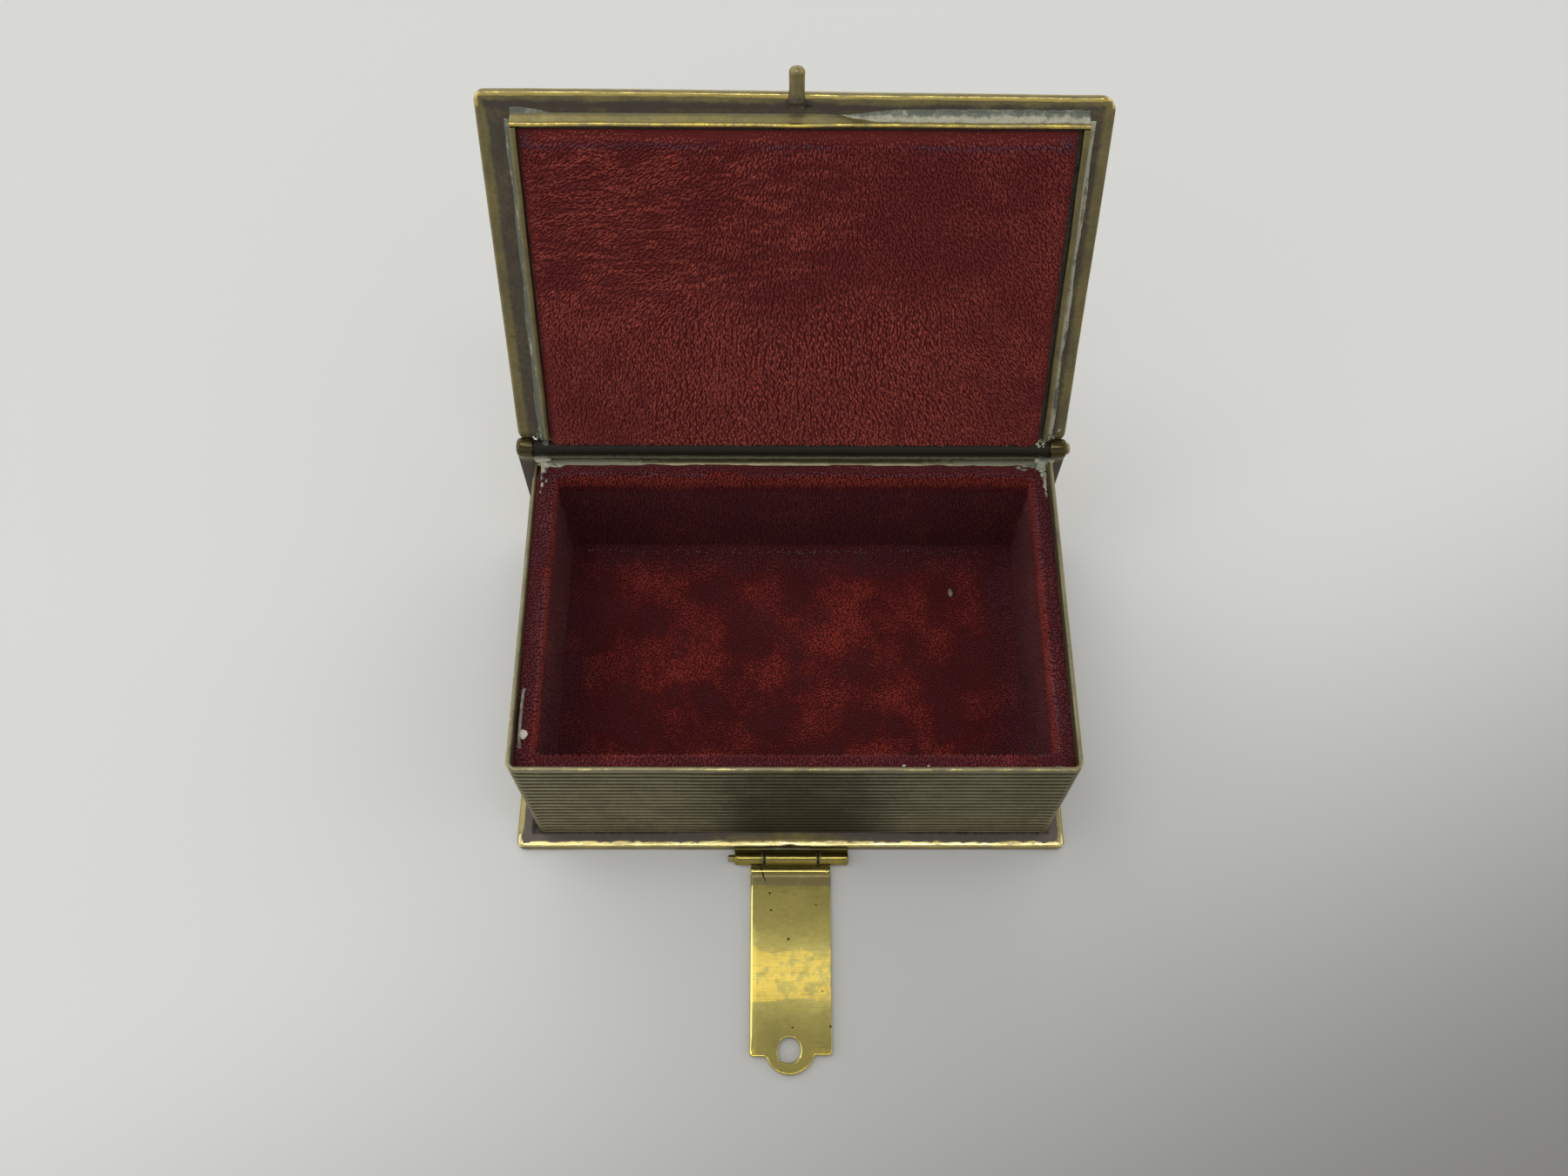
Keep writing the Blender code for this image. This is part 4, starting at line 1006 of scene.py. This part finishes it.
class Panel:
    """A velvet panel on a flat backing: a corner, two edge directions and the side that its pile stands on.

    roll rounds its edges, listed in rolled by name. A hem folds over its far edge, down to -hem behind the
    backing's face. bulge thickens it towards that edge, and cove raises it along all its borders.
    """

    def __init__(
        self, corner, across, along, out, width, length, thickness, seed, roll=0.0, rolled="", hem=None,
        bulge=0.0, cove=0.0,
    ):
        self.corner, self.across, self.along, self.out = (
            np.array(vector, float) for vector in (corner, across, along, out)
        )
        self.width, self.length, self.thickness = width, length, thickness
        self.seed, self.roll, self.rolled, self.hem = seed, roll, rolled, hem
        self.bulge, self.cove = bulge, cove
        self.folds = hem is not None
        self.full = length + (thickness + bulge + hem if self.folds else 0.0)

    def edge(self, u, v):
        """Distance to the nearest rolled edge."""
        distances = {"left": u, "right": self.width - u, "near": v, "far": self.length - v}
        chosen = [np.broadcast_to(distances[name], np.shape(u)) for name in self.rolled.split()]
        return np.minimum.reduce(chosen) if chosen else np.full(np.shape(u), 9.0)

    def ground(self, u, v):
        """How high the cloth's face stands above its backing."""
        swell = 0.07 * noise(u, v, 6.0, self.seed + 3) + 0.03 * noise(u, v, 1.6, self.seed + 4)
        full = self.bulge * ease(v, self.length - 5.0, self.length - 1.2)
        border = np.minimum(u, self.width - u)
        if not self.folds:
            border = np.minimum(border, np.minimum(v, self.length - v))
        rise = self.cove * np.clip((2.6 - border) / 2.6, 0.0, 1.0) ** 2
        return self.thickness + swell + full + rise - self.roll * ease(self.edge(u, v), 1.3, 0.0)

    def surface(self, u, v):
        """Points on the cloth, and how far they face over its fold. Past the far edge is the hem."""
        u, v = np.asarray(u, float), np.asarray(v, float)
        inside = np.minimum(v, self.length)
        height = self.ground(u, inside) - np.clip(v - self.length, 0.0, None)
        turn, lift = 0.0 * v, 0.0 * u
        if self.folds:
            turn = np.radians(90.0) * ease(v, self.length - 1.0, self.length + 0.5)
            lift = 0.16 * noise(u, u * 0, 3.0, self.seed + 5, 3) * ease(v, self.length - 3.0, self.length)
        flat = self.corner + u[..., None] * self.across + (inside + lift)[..., None] * self.along
        return flat + height[..., None] * self.out, turn

    def cloth(self, spacing):
        """The woven backing, as a closed slab."""
        front = stations(0.0, self.length, spacing)
        levels, behind, loose = front, 0 * front, "left" in self.rolled
        if self.folds:
            levels = np.concatenate([front, stations(self.length, self.full, 0.4)[1:]])
            behind = -self.hem * ease(front, self.length - 1.7, self.length - 0.9)
        rings = []
        for u in stations(0.0, self.width, spacing):
            ragged = 0.2 * noise(levels, levels * 0 + self.seed, 3.0, self.seed + 1, 3) * loose
            side = ragged * (ease(u, 1.0, 0.0) - ease(u, self.width - 1.0, self.width))
            top, _ = self.surface(np.full(len(levels), u) + side, levels)
            back = self.corner + u * self.across + front[:, None] * self.along + behind[:, None] * self.out
            rings.append(np.concatenate([top, back[::-1]]))
        return lofted(rings)


def tufts(roots, reach, side, radius):
    """Slim leaning tufts: a three-sided root, a fuller belly and a point."""
    forward = reach / np.linalg.norm(reach, axis=1, keepdims=True)
    side = side - forward * np.sum(side * forward, axis=1, keepdims=True)
    side = side / np.linalg.norm(side, axis=1, keepdims=True)
    other = np.cross(forward, side)
    points = np.zeros((len(roots), 7, 3))
    for k, angle in enumerate(np.radians((90.0, 210.0, 330.0))):
        around = side * math.cos(angle) + other * math.sin(angle)
        points[:, k] = roots + around * radius[:, None] * 0.7
        points[:, 3 + k] = roots + reach * 0.42 + around * radius[:, None]
    points[:, 6] = roots + reach
    pattern = [(0, 1, 4, 3), (1, 2, 5, 4), (2, 0, 3, 5), (3, 4, 6), (4, 5, 6), (5, 3, 6)]
    faces = [[first + k for k in face] for first in range(0, len(roots) * 7, 7) for face in pattern]
    return points.reshape(-1, 3), faces


def make_panel(node, panel, pile, pitch, radius, lean, tone, dye, bunch, material, rests_on):
    """The cloth and its pile. lean, tone, dye and bunch say how the tufts lie, look and gather."""
    body = "lid" if rests_on == "lid_card" else "case"
    name, slot = node + "_cloth", body + "_velvet"
    # The backing cloth takes a tip of 0.1, nearly the root colour: painted shade under the pile.
    marks = {"tip": 0.1, "tone": 0.0, "dye": 0.0}
    cloth = add_piece(name, panel.cloth(0.5), body, material, node, marks)

    rng = np.random.default_rng(panel.seed)
    full = panel.full - 0.1 if panel.folds else panel.full
    columns, rows = np.arange(pitch[0] / 2, panel.width, pitch[0]), np.arange(pitch[1] / 2, full, pitch[1])
    u, v = np.meshgrid(columns, rows)
    u = u + (np.arange(len(v)) % 2)[:, None] * pitch[0] / 2
    u = (u + rng.uniform(-0.4, 0.4, u.shape) * pitch[0]).ravel()
    v = (v + rng.uniform(-0.4, 0.4, v.shape) * pitch[1]).ravel()
    keep = (u > 0) & (u < panel.width) & (v > 0) & (v < full)
    margin = np.full(u.shape, 9.0) if panel.folds else panel.edge(u, v)
    keep &= margin > 0.10 + 0.15 * noise(u, v, 2.0, panel.seed + 6)
    u, v, margin = u[keep], v[keep], margin[keep]
    shift_u, shift_v = bunch(u, v)
    roots, turn = panel.surface(u + shift_u, v + shift_v)
    heading, tilt = lean(u, v)
    heading = heading + rng.normal(0.0, 0.20, u.shape)
    tilt = tilt + rng.normal(0.0, 0.10, u.shape)
    uneven = 1.0 + np.clip(rng.normal(0.0, 0.16, u.shape), -0.3, 0.22)
    tall = pile * uneven * (0.35 + 0.65 * ease(margin, 0.0, 2.0))
    tall = tall * (1.0 if panel.folds else 0.82 + 0.18 * ease(v, 3.0, 6.0))
    normal = np.cos(turn)[:, None] * panel.out + np.sin(turn)[:, None] * panel.along
    tangent = np.cos(turn)[:, None] * panel.along - np.sin(turn)[:, None] * panel.out
    room = (v + 0.12) / np.maximum(-np.sin(heading), 0.05)
    flat = np.minimum(np.sin(tilt) * tall * 1.25, room)
    reach = (np.cos(heading) * flat)[:, None] * panel.across + (np.sin(heading) * flat)[:, None] * tangent
    reach = reach + (np.cos(tilt) * tall)[:, None] * normal
    side = np.cross(reach, normal) + 1e-6 * panel.across
    shape = tufts(roots - 0.08 * normal, reach, side, radius * (1.0 + rng.normal(0.0, 0.2, u.shape)))
    # tip runs from each tuft's root, painted in shade, to its lit point.
    marks = {
        "tip": np.tile([0.05, 0.05, 0.05, 0.6, 0.6, 0.6, 1.0], len(u)),
        "tone": np.repeat(tone(u, v) + rng.normal(0.0, 0.18, u.shape), 7),
        "dye": np.repeat(dye(u, v), 7),
    }
    fur = add_piece(name + "_pile", shape, body, material, marks=marks, sharp=None)
    size = (panel.width * MM, panel.length * MM)


RIB = 0.92  # from rib to rib of the lid's velvet


def make_lid_velvet(material):
    """The lid's panel: ribs show in its lower middle, it is streaked at its top left, and it has creases,
    painted in as dark lines of shade.
    """
    low, high = local_box("velvet_lid_panel", LID)
    width, length = high[0] - low[0] - 0.75, high[1] - low[1] + 0.6
    corner = (low[0] + 0.2, high[1] + 0.95, high[2])
    panel = Panel(
        corner, (1, 0, 0), (0, -1, 0), (0, 0, -1), width, length, 0.72, 600, 0.5, "left right near far",
    )

    def lean(u, v):
        """Brushed sideways at the upper left, straight down in the lower middle, askew on the right."""
        left_top = ease(u / width, 0.60, 0.15) * ease(v / length, 0.30, 0.65)
        right = ease(u / width, 0.55, 0.95)
        heading = -np.pi / 2 - left_top * 1.35 + right * 0.6 + 0.45 * noise(u, v, 8.0, 61)
        return heading, 0.75 + 0.15 * noise(u, v, 5.0, 62)

    def ribs(u, v, wave):
        middle = ease(np.abs(u / width - 0.50), 0.45, 0.2) * ease(v / length, 0.70, 0.42)
        phase = 2 * np.pi * u / RIB + 0.5 * noise(u, v, 4.0, 68)
        return wave(phase) * (middle * (0.6 + 0.4 * noise(u, v, 5.0, 67)))

    def streaked(u, v):
        return ease(u / width, 0.85, 0.35) * ease(v / length, 0.35, 0.6)

    def bunch(u, v):
        return 0.24 * ribs(u, v, np.sin), 0.28 * noise(u * 0.3, v, 0.5, 69) * streaked(u, v)

    def tone(u, v):
        streaks = 1.3 * noise(u * 0.2, v, 0.55, 63) * streaked(u, v)
        blot = 0.9 * ease(np.hypot((u - 0.72 * width) / 11, (v - 0.74 * length) / 8), 1.6, 0.3)
        blot = blot + 0.5 * ease(np.hypot((u - 0.55 * width) / 12, (v - 0.50 * length) / 6), 1.4, 0.4)
        # The creases are painted shade: dark lines in the colour, with no fold in the cloth.
        crease_shade = bell(v, 0.70 * length + 0.02 * u, 0.22) * bell(u, 0.22 * width, 3.5)
        crease_shade = crease_shade + bell(v, 0.62 * length - 0.03 * u, 0.2) * bell(u, 0.20 * width, 3.0)
        crease_shade = crease_shade + 0.8 * bell(v, 0.88 * length - 0.01 * u, 0.2) * bell(u, 0.5 * width, 6.0)
        low_middle = ease(np.abs(u / width - 0.5), 0.5, 0.1) * ease(v / length, 0.75, 0.25)
        dark = streaks - 0.6 * blot - 1.2 * crease_shade
        return 1.5 * ribs(u, v, np.cos) + dark + 0.45 * low_middle + 0.5 * noise(u, v, 5.0, 64, 3)

    def dye(u, v):
        line = bell(v, length - 1.75 + 0.25 * noise(u, v * 0, 9.0, 65), 0.34)
        stitches = 0.75 + 0.25 * np.sign(np.sin(2 * np.pi * u / 0.55))
        broken = ease(noise(u, v * 0, 7.0, 66), -0.8, 0.0)
        left = bell(np.hypot(u - 0.8, v - length + 0.8), 0.0, 1.0)
        right = bell(np.hypot(u - width + 1.2, v - length + 1.0), 0.0, 1.1)
        return np.clip(0.9 * line * broken * stitches + np.maximum(left, right), 0.0, 1.0)

    make_panel(
        "velvet_lid_panel", panel, 0.68, (0.32, 0.44), 0.16, lean, tone, dye, bunch, material, "lid_card",
    )


def make_floor_velvet(material):
    """The floor's pile is crushed short and blotched. It runs on under the walls' pile."""
    low, high = local_box("velvet_floor")
    under = 0.55
    width, length = high[0] - low[0] + 2 * under, high[1] - low[1] + 2 * under
    corner = (low[0] - under, low[1] - under, low[2])
    panel = Panel(corner, (1, 0, 0), (0, 1, 0), (0, 0, 1), width, length, 1.5, 700, cove=1.0)

    def border(u, v):
        return np.minimum(np.minimum(u, width - u), np.minimum(v, length - v))

    def crushed(u, v):
        return noise(u, v, 9.0, 71) * 3.0, 0.55 + 0.3 * noise(u, v, 6.0, 72)

    def blotches_light_and_shade(u, v):
        # lit is a painted pool of light in the floor's middle, and the floor is painted darker within 3 mm
        # of the walls as shade.
        lit = ease(np.hypot((u - 0.45 * width) / 26, (v - 0.62 * length) / 15), 1.3, 0.3)
        return 1.7 * noise(u, v, 4.5, 73, 4) + 0.7 * lit - 0.3 - 0.4 * ease(border(u, v), 3.0, 0.0)

    def dusty(u, v):
        return 0.35 * ease(border(u, v), 7.0, 1.0) + 0.15 * ease(noise(u, v, 4.5, 73, 4), 0.0, -0.4)

    def gathered(u, v):
        return 0.12 * noise(u, v, 0.9, 74), 0.12 * noise(v, u, 0.9, 75)

    make_panel(
        "velvet_floor", panel, 0.42, (0.3, 0.34), 0.14, crushed, blotches_light_and_shade, dusty, gathered, material,
        "floor_card",
    )


def make_wall_velvet(side, seed, material):
    """A wall's velvet, folded over its card at the top. Its pile hangs down, tips out at the fold."""
    node = "velvet_" + side
    low, high = local_box(node)
    axis, facing = {"left": (0, 1), "right": (0, -1), "front": (1, 1), "back": (1, -1)}[side]
    run = 1 - axis
    spread = 0.6 * axis
    length, width = high[2] - low[2], high[run] - low[run] + 2 * spread
    corner, across, out = [0.0, 0.0, low[2]], [0, 0, 0], [0, 0, 0]
    corner[run], corner[axis] = low[run] - spread, low[axis] if facing > 0 else high[axis]
    across[run], out[axis] = 1, facing
    # bright is how much lighter the lip under the fold is painted: a painted highlight on the rolled top.
    hem, bulge, bright = {
        "back": (0.2, 0.1, 1.35), "front": (0.55, 0.55, 0.0),
        "left": (1.05, 0.1, 1.0), "right": (0.85, 0.1, 1.0),
    }[side]
    strong, frayed = (0.3, 0.25) if side == "front" else (0.8, 0.45)
    thickness = high[axis] - low[axis] - 0.5
    edges = (corner, across, (0, 0, 1), out, width, length)
    panel = Panel(*edges, thickness, seed, 0.35, "far", hem, bulge, 0.8)

    def lean(u, v):
        heading = -np.pi / 2 + 0.5 * noise(u, v, 6.0, seed + 20)
        return heading, 0.7 + 0.15 * noise(u, v, 5.0, seed + 21)

    def tone(u, v):
        # lip is the painted highlight along the roll below the fold.
        lip = ease(v, length - 4.2, length - 1.8) * ease(v, length + 0.5, length - 0.3)
        folded = ease(v, length - 0.2, length + 0.4)
        return 0.6 * noise(u, v, 4.0, seed + 22, 3) + bright * lip + 0.1 * folded - 0.4

    def dye(u, v):
        line = bell(v, length - 0.1 + 0.3 * noise(u, v * 0, 7.0, seed + 23), 0.35)
        raw = frayed * ease(v, length - 0.1, length + 0.8) + 0.25 * ease(v, length - 3.5, length - 6.0)
        broken = ease(noise(u, v * 0, 5.0, seed + 24), -0.7, 0.0)
        return np.clip(strong * line * broken + raw, 0.0, 1.0)

    def bunch(u, v):
        return 0.10 * noise(u, v, 1.0, seed + 25), 0.14 * noise(u * 0.4, v, 0.8, seed + 26)

    pile = 0.42 if side == "back" else 0.52
    make_panel(
        node, panel, pile, (0.32, 0.40), 0.14, lean, tone, dye, bunch, material, side + "_card",
    )


# ------------------------------
# Cards, solder and crumbs


def make_cards(wall_card, shade_dark_card):
    """The cards behind the velvet. They end just under its fold, but curl up past it at two places."""
    humps = {"left": (-16.0, 5.0, 1.7), "front": (35.4, 1.2, 1.4)}
    for side in ("left", "right", "front", "back"):
        node = side + "_card"
        low, high = local_box(node)
        axis, other = (1, 0) if side in ("left", "right") else (0, 1)
        outward = -1.0 if side in ("left", "back") else 1.0
        inner = high[other] if outward < 0 else low[other]
        rings = []
        for run in stations(low[axis], high[axis], 0.4):
            top = high[2] - 1.25 + 0.12 * noise(run, 0.0, 1.5, 111 + len(side), 3)
            if side in humps:
                place, width, rise = humps[side]
                top += rise * np.exp(-(((run - place) / width) ** 6))
            curl = 0.3 * ease(top, high[2] - 0.5, high[2] + 0.6)
            corners = ((low[other], low[2]), (high[other], low[2]), (high[other], top), (low[other], top))
            ring = []
            for out, level in corners:
                point = [0.0, 0.0, level]
                point[axis] = run
                point[other] = out + (curl * outward if level == top and out == inner else 0.0)
                ring.append(point)
            rings.append(ring)
        points, faces = lofted(rings)
        shape = points, flipped(faces) if axis == 1 else faces
        add_piece(node + "_cut", shape, "case", wall_card, node, sharp=40)
    # The floor's and the lid's cards take the dark card: painted shade where the lid's card shows in the
    # gaps round its velvet.
    for node, body in (("floor_card", "case"), ("lid_card", "lid")):
        low, high = local_box(node, PLACES[body])
        shape = plate_body([rounded_outline(low, high, 0.8)], low[2], high[2], 0.05, [0.0], [0.0])
        add_piece(node + "_cut", shape, body, shade_dark_card, node, sharp=40)


def make_lid_solder(material):
    """Solder outside the three flanges: a broad pale band at the front right, thin lines at the sides.

    Paste lies in the rear corners too, and on the ends of the barrel.
    """
    front_low, front_high = local_box("lid_flange_front", LID)
    left_low, left_high = local_box("lid_flange_left", LID)
    right_low, right_high = local_box("lid_flange_right", LID)
    barrel_end = local_box("lid_knuckle", LID)[1][0]
    face, start = front_high[2] + 0.06, front_low[1]

    def broad(run):
        return 0.5 + 0.92 * ease(run, 0.52, 0.70) + 0.95 * ease(run, 0.10, 0.02)

    def narrow(run):
        return 0.85 + 0.2 * ease(run, 0.3, 0.8) + 0.1 * math.sin(23.0 * run)

    front = fillet(
        (front_low[0], start, face), (front_high[0], start, face), (0, -1, 0),
        broad, lambda run: 0.35 + 0.55 * ease(run, 0.5, 0.75), 121,
    )
    points, faces = fillet(
        (left_low[0], start, face), (left_low[0], left_high[1], face), (-1, 0, 0),
        narrow, lambda run: 0.55 + 0.3 * ease(run, 0.1, 0.0), 122,
    )
    right = fillet(
        (right_high[0], start, face), (right_high[0], right_high[1], face), (1, 0, 0),
        lambda run: 0.95 - 0.1 * math.sin(19.0 * run), lambda run: 0.75, 123,
    )
    shapes = [front, (points, flipped(faces)), right]
    rng = np.random.default_rng(129)
    for x, spread in ((left_low[0] - 0.2, 1.3), (right_high[0] + 0.2, 0.8)):
        points, faces = worked_block((x - spread * 0.9, -2.2, 0.15), (x + spread * 0.9, -0.2, 1.3), 0.2)
        shapes.append((points + 0.12 * noise(points[:, :1], points[:, 1:2], 0.6, 128), faces))
        for k in range(24):
            centre = (x + rng.normal(0.0, spread), rng.uniform(-3.0, 0.3), face - rng.uniform(0.0, 0.35))
            shapes.append(lump(centre, rng.uniform(0.08, 0.34, 3), 131 + k, steps=5))
        for k in range(26):
            angle = math.radians(rng.uniform(165.0, 225.0))
            along = math.copysign(barrel_end, x) - math.copysign(rng.uniform(0.9, 2.5), x)
            centre = (along, 1.16 * math.cos(angle), 1.16 * math.sin(angle))
            shapes.append(lump(centre, rng.uniform(0.1, 0.24, 3), 271 + k, steps=5))
    points, faces = joined(shapes)
    x, y, z = points.T
    over_rim = np.maximum.reduce([left_low[0] - 0.6 - x, 3 * (x - right_high[0] - 0.12), -49.4 - y])
    z[:] = np.maximum(z, LID_FACE - 1.6 * ease(over_rim, 0.0, -0.3))
    lower_half = ease(y, start - 0.9, start - 0.3) * ease(x, -8.0, 8.0)
    sides = (y > start + 1.0) * (0.5 * noise(x * 3.0, y * 0.3, 1.2, 125) - 0.1)
    marks = {"tip": 0.30 + 0.45 * lower_half + sides + 0.25 * noise(x, y, 1.5, 124)}
    add_piece("lid_solder", (points, faces), "lid", material, marks=marks, sharp=None)


def make_case_solder(material):
    """Paste and solder in the rear corners of the case, on the back wall's top and on the clasp's leaf."""
    low, high = local_box("back_wall")
    rng = np.random.default_rng(141)
    shapes = []
    for side in (-1, 1):
        edge = low[0] + 0.6 if side < 0 else high[0] - 0.6
        for k in range(70):
            along = abs(rng.normal(0.0, 1.5)) * (1 if k % 2 else 0.15)
            back = abs(rng.normal(0.0, 2.0 + side * 0.6)) * (0.2 if k % 2 else 1)
            centre = (edge - side * (along + 0.1), low[1] - 0.1 - back, high[2] + rng.uniform(-0.1, 0.1))
            drawn = np.array([1.8, 1.0, 0.5] if k % 2 else [0.9, 2.0, 0.5])
            shapes.append(lump(centre, rng.uniform(0.12, 0.26) * drawn, 142 + k, steps=5))
    shapes.append(lump((low[0] + 0.6, high[1] - 0.1, high[2] + 0.1), (1.3, 0.7, 0.35), 171))
    shapes.append(lump((high[0] - 0.6, high[1] - 0.2, high[2] + 0.1), (1.5, 0.8, 0.4), 172))
    for x in np.linspace(-3.2, 2.4, 9):
        centre = (x, -26.75, 1.72 + 0.03 * math.sin(3 * x))
        shapes.append(lump(centre, (0.5, 0.12, 0.07), 180 + int(3 * x)))
    points, faces = joined(shapes)
    x, y, _ = points.T
    marks = {"tip": 0.5 + 0.45 * noise(x, y, 1.0, 145) - 0.4 * (y < 0)}
    add_piece("case_solder", (points, faces), "case", material, marks=marks, sharp=None)


def make_crumbs(material):
    """Dirt and bits of card on the left fold, on the floor, along the back and at the front."""
    low, high = local_box("velvet_floor")
    rng = np.random.default_rng(151)
    on_floor = (25.4, 14.2, 4.1)
    shapes = [
        lump((-36.1, -18.5, 26.55), (0.62, 0.72, 0.3), 152),
        lump(on_floor, (0.42, 0.75, 0.35), 153),
        lump((14.6, -23.0, 26.7), (0.25, 0.18, 0.2), 154),
        lump((17.9, -23.0, 26.7), (0.2, 0.12, 0.15), 155),
    ]
    for k in range(130):
        x = rng.uniform(low[0] + 1.0, high[0] - 3.0)
        x = x + 0.6 * (rng.choice([-14.0, -9.0, 6.0, 14.0]) - x) * (k % 3 == 0)
        size = rng.uniform(0.05, 0.11)
        centre = (x, high[1] - rng.uniform(0.3, 1.2), 4.6)
        shapes.append(lump(centre, (size * 1.4, size, size), 156 + k, steps=5))
    for k in range(60):
        centre = (rng.uniform(low[0], high[0]), rng.uniform(low[1], high[1]), 4.25)
        shapes.append(lump(centre, (0.08, 0.05, 0.05), 190 + k, steps=4))
    points, faces = joined(shapes)
    x, y, z = points.T
    pale = 0.15 + 0.7 * (z > 5.0) + 0.25 * (np.hypot(x - on_floor[0], y - on_floor[1]) < 1.5)
    add_piece("crumbs", (points, faces), "case", material, marks={"tip": pale}, sharp=None)


# ------------------------------
# Build


def main():
    make_camera()
    make_floor()
    make_light()
    brass = {name: brass_material(name, **look) for name, look in BRASSES.items()}
    panel_velvet = velvet_material(
        "panel_velvet", (0.10, 0.011, 0.011), (0.28, 0.040, 0.039), (0.64, 0.125, 0.09), 0.3,
        (0.15, 0.085, 0.14),
    )
    case_velvet = velvet_material(
        "case_velvet", (0.06, 0.006, 0.007), (0.18, 0.015, 0.018), (0.62, 0.08, 0.055), 0.12,
        (0.17, 0.105, 0.15),
    )
    solder = crust_material("solder_crust", (0.15, 0.165, 0.13), (0.52, 0.51, 0.38), (0.10, 0.095, 0.07))
    crumb = crust_material("crumb", (0.22, 0.16, 0.10), (0.66, 0.60, 0.52), (0.25, 0.2, 0.14))
    make_base_cover(brass["base_brass"])
    make_lid_cover(brass["cover_brass"])
    make_page_wall(brass["page_brass"])
    make_back_wall(brass["page_brass"])
    make_spine(brass["cover_brass"])
    make_lid_hinge(brass["brown_brass"], brass["dark_brass"])
    make_flange("front", 81, brass["strip_brass"])
    make_flange("left", 84, brass["cover_brass"])
    make_flange("right", 87, brass["cover_brass"])
    make_stud(brass["cover_brass"])
    make_clasp_hinge(brass["bright_brass"])
    make_strap(brass["strap_brass"])
    make_strap_crack(brass["dark_brass"])
    make_strap_tube(brass["bright_brass"])
    make_lid_velvet(panel_velvet)
    make_floor_velvet(case_velvet)
    for side, seed in (("left", 710), ("right", 720), ("front", 730), ("back", 740)):
        make_wall_velvet(side, seed, case_velvet)
    make_cards(card_material("lining_card", 1.0), card_material("shaded_card", 0.22))
    make_lid_solder(solder)
    make_case_solder(solder)
    make_crumbs(crumb)
    repaint_pins()


main()
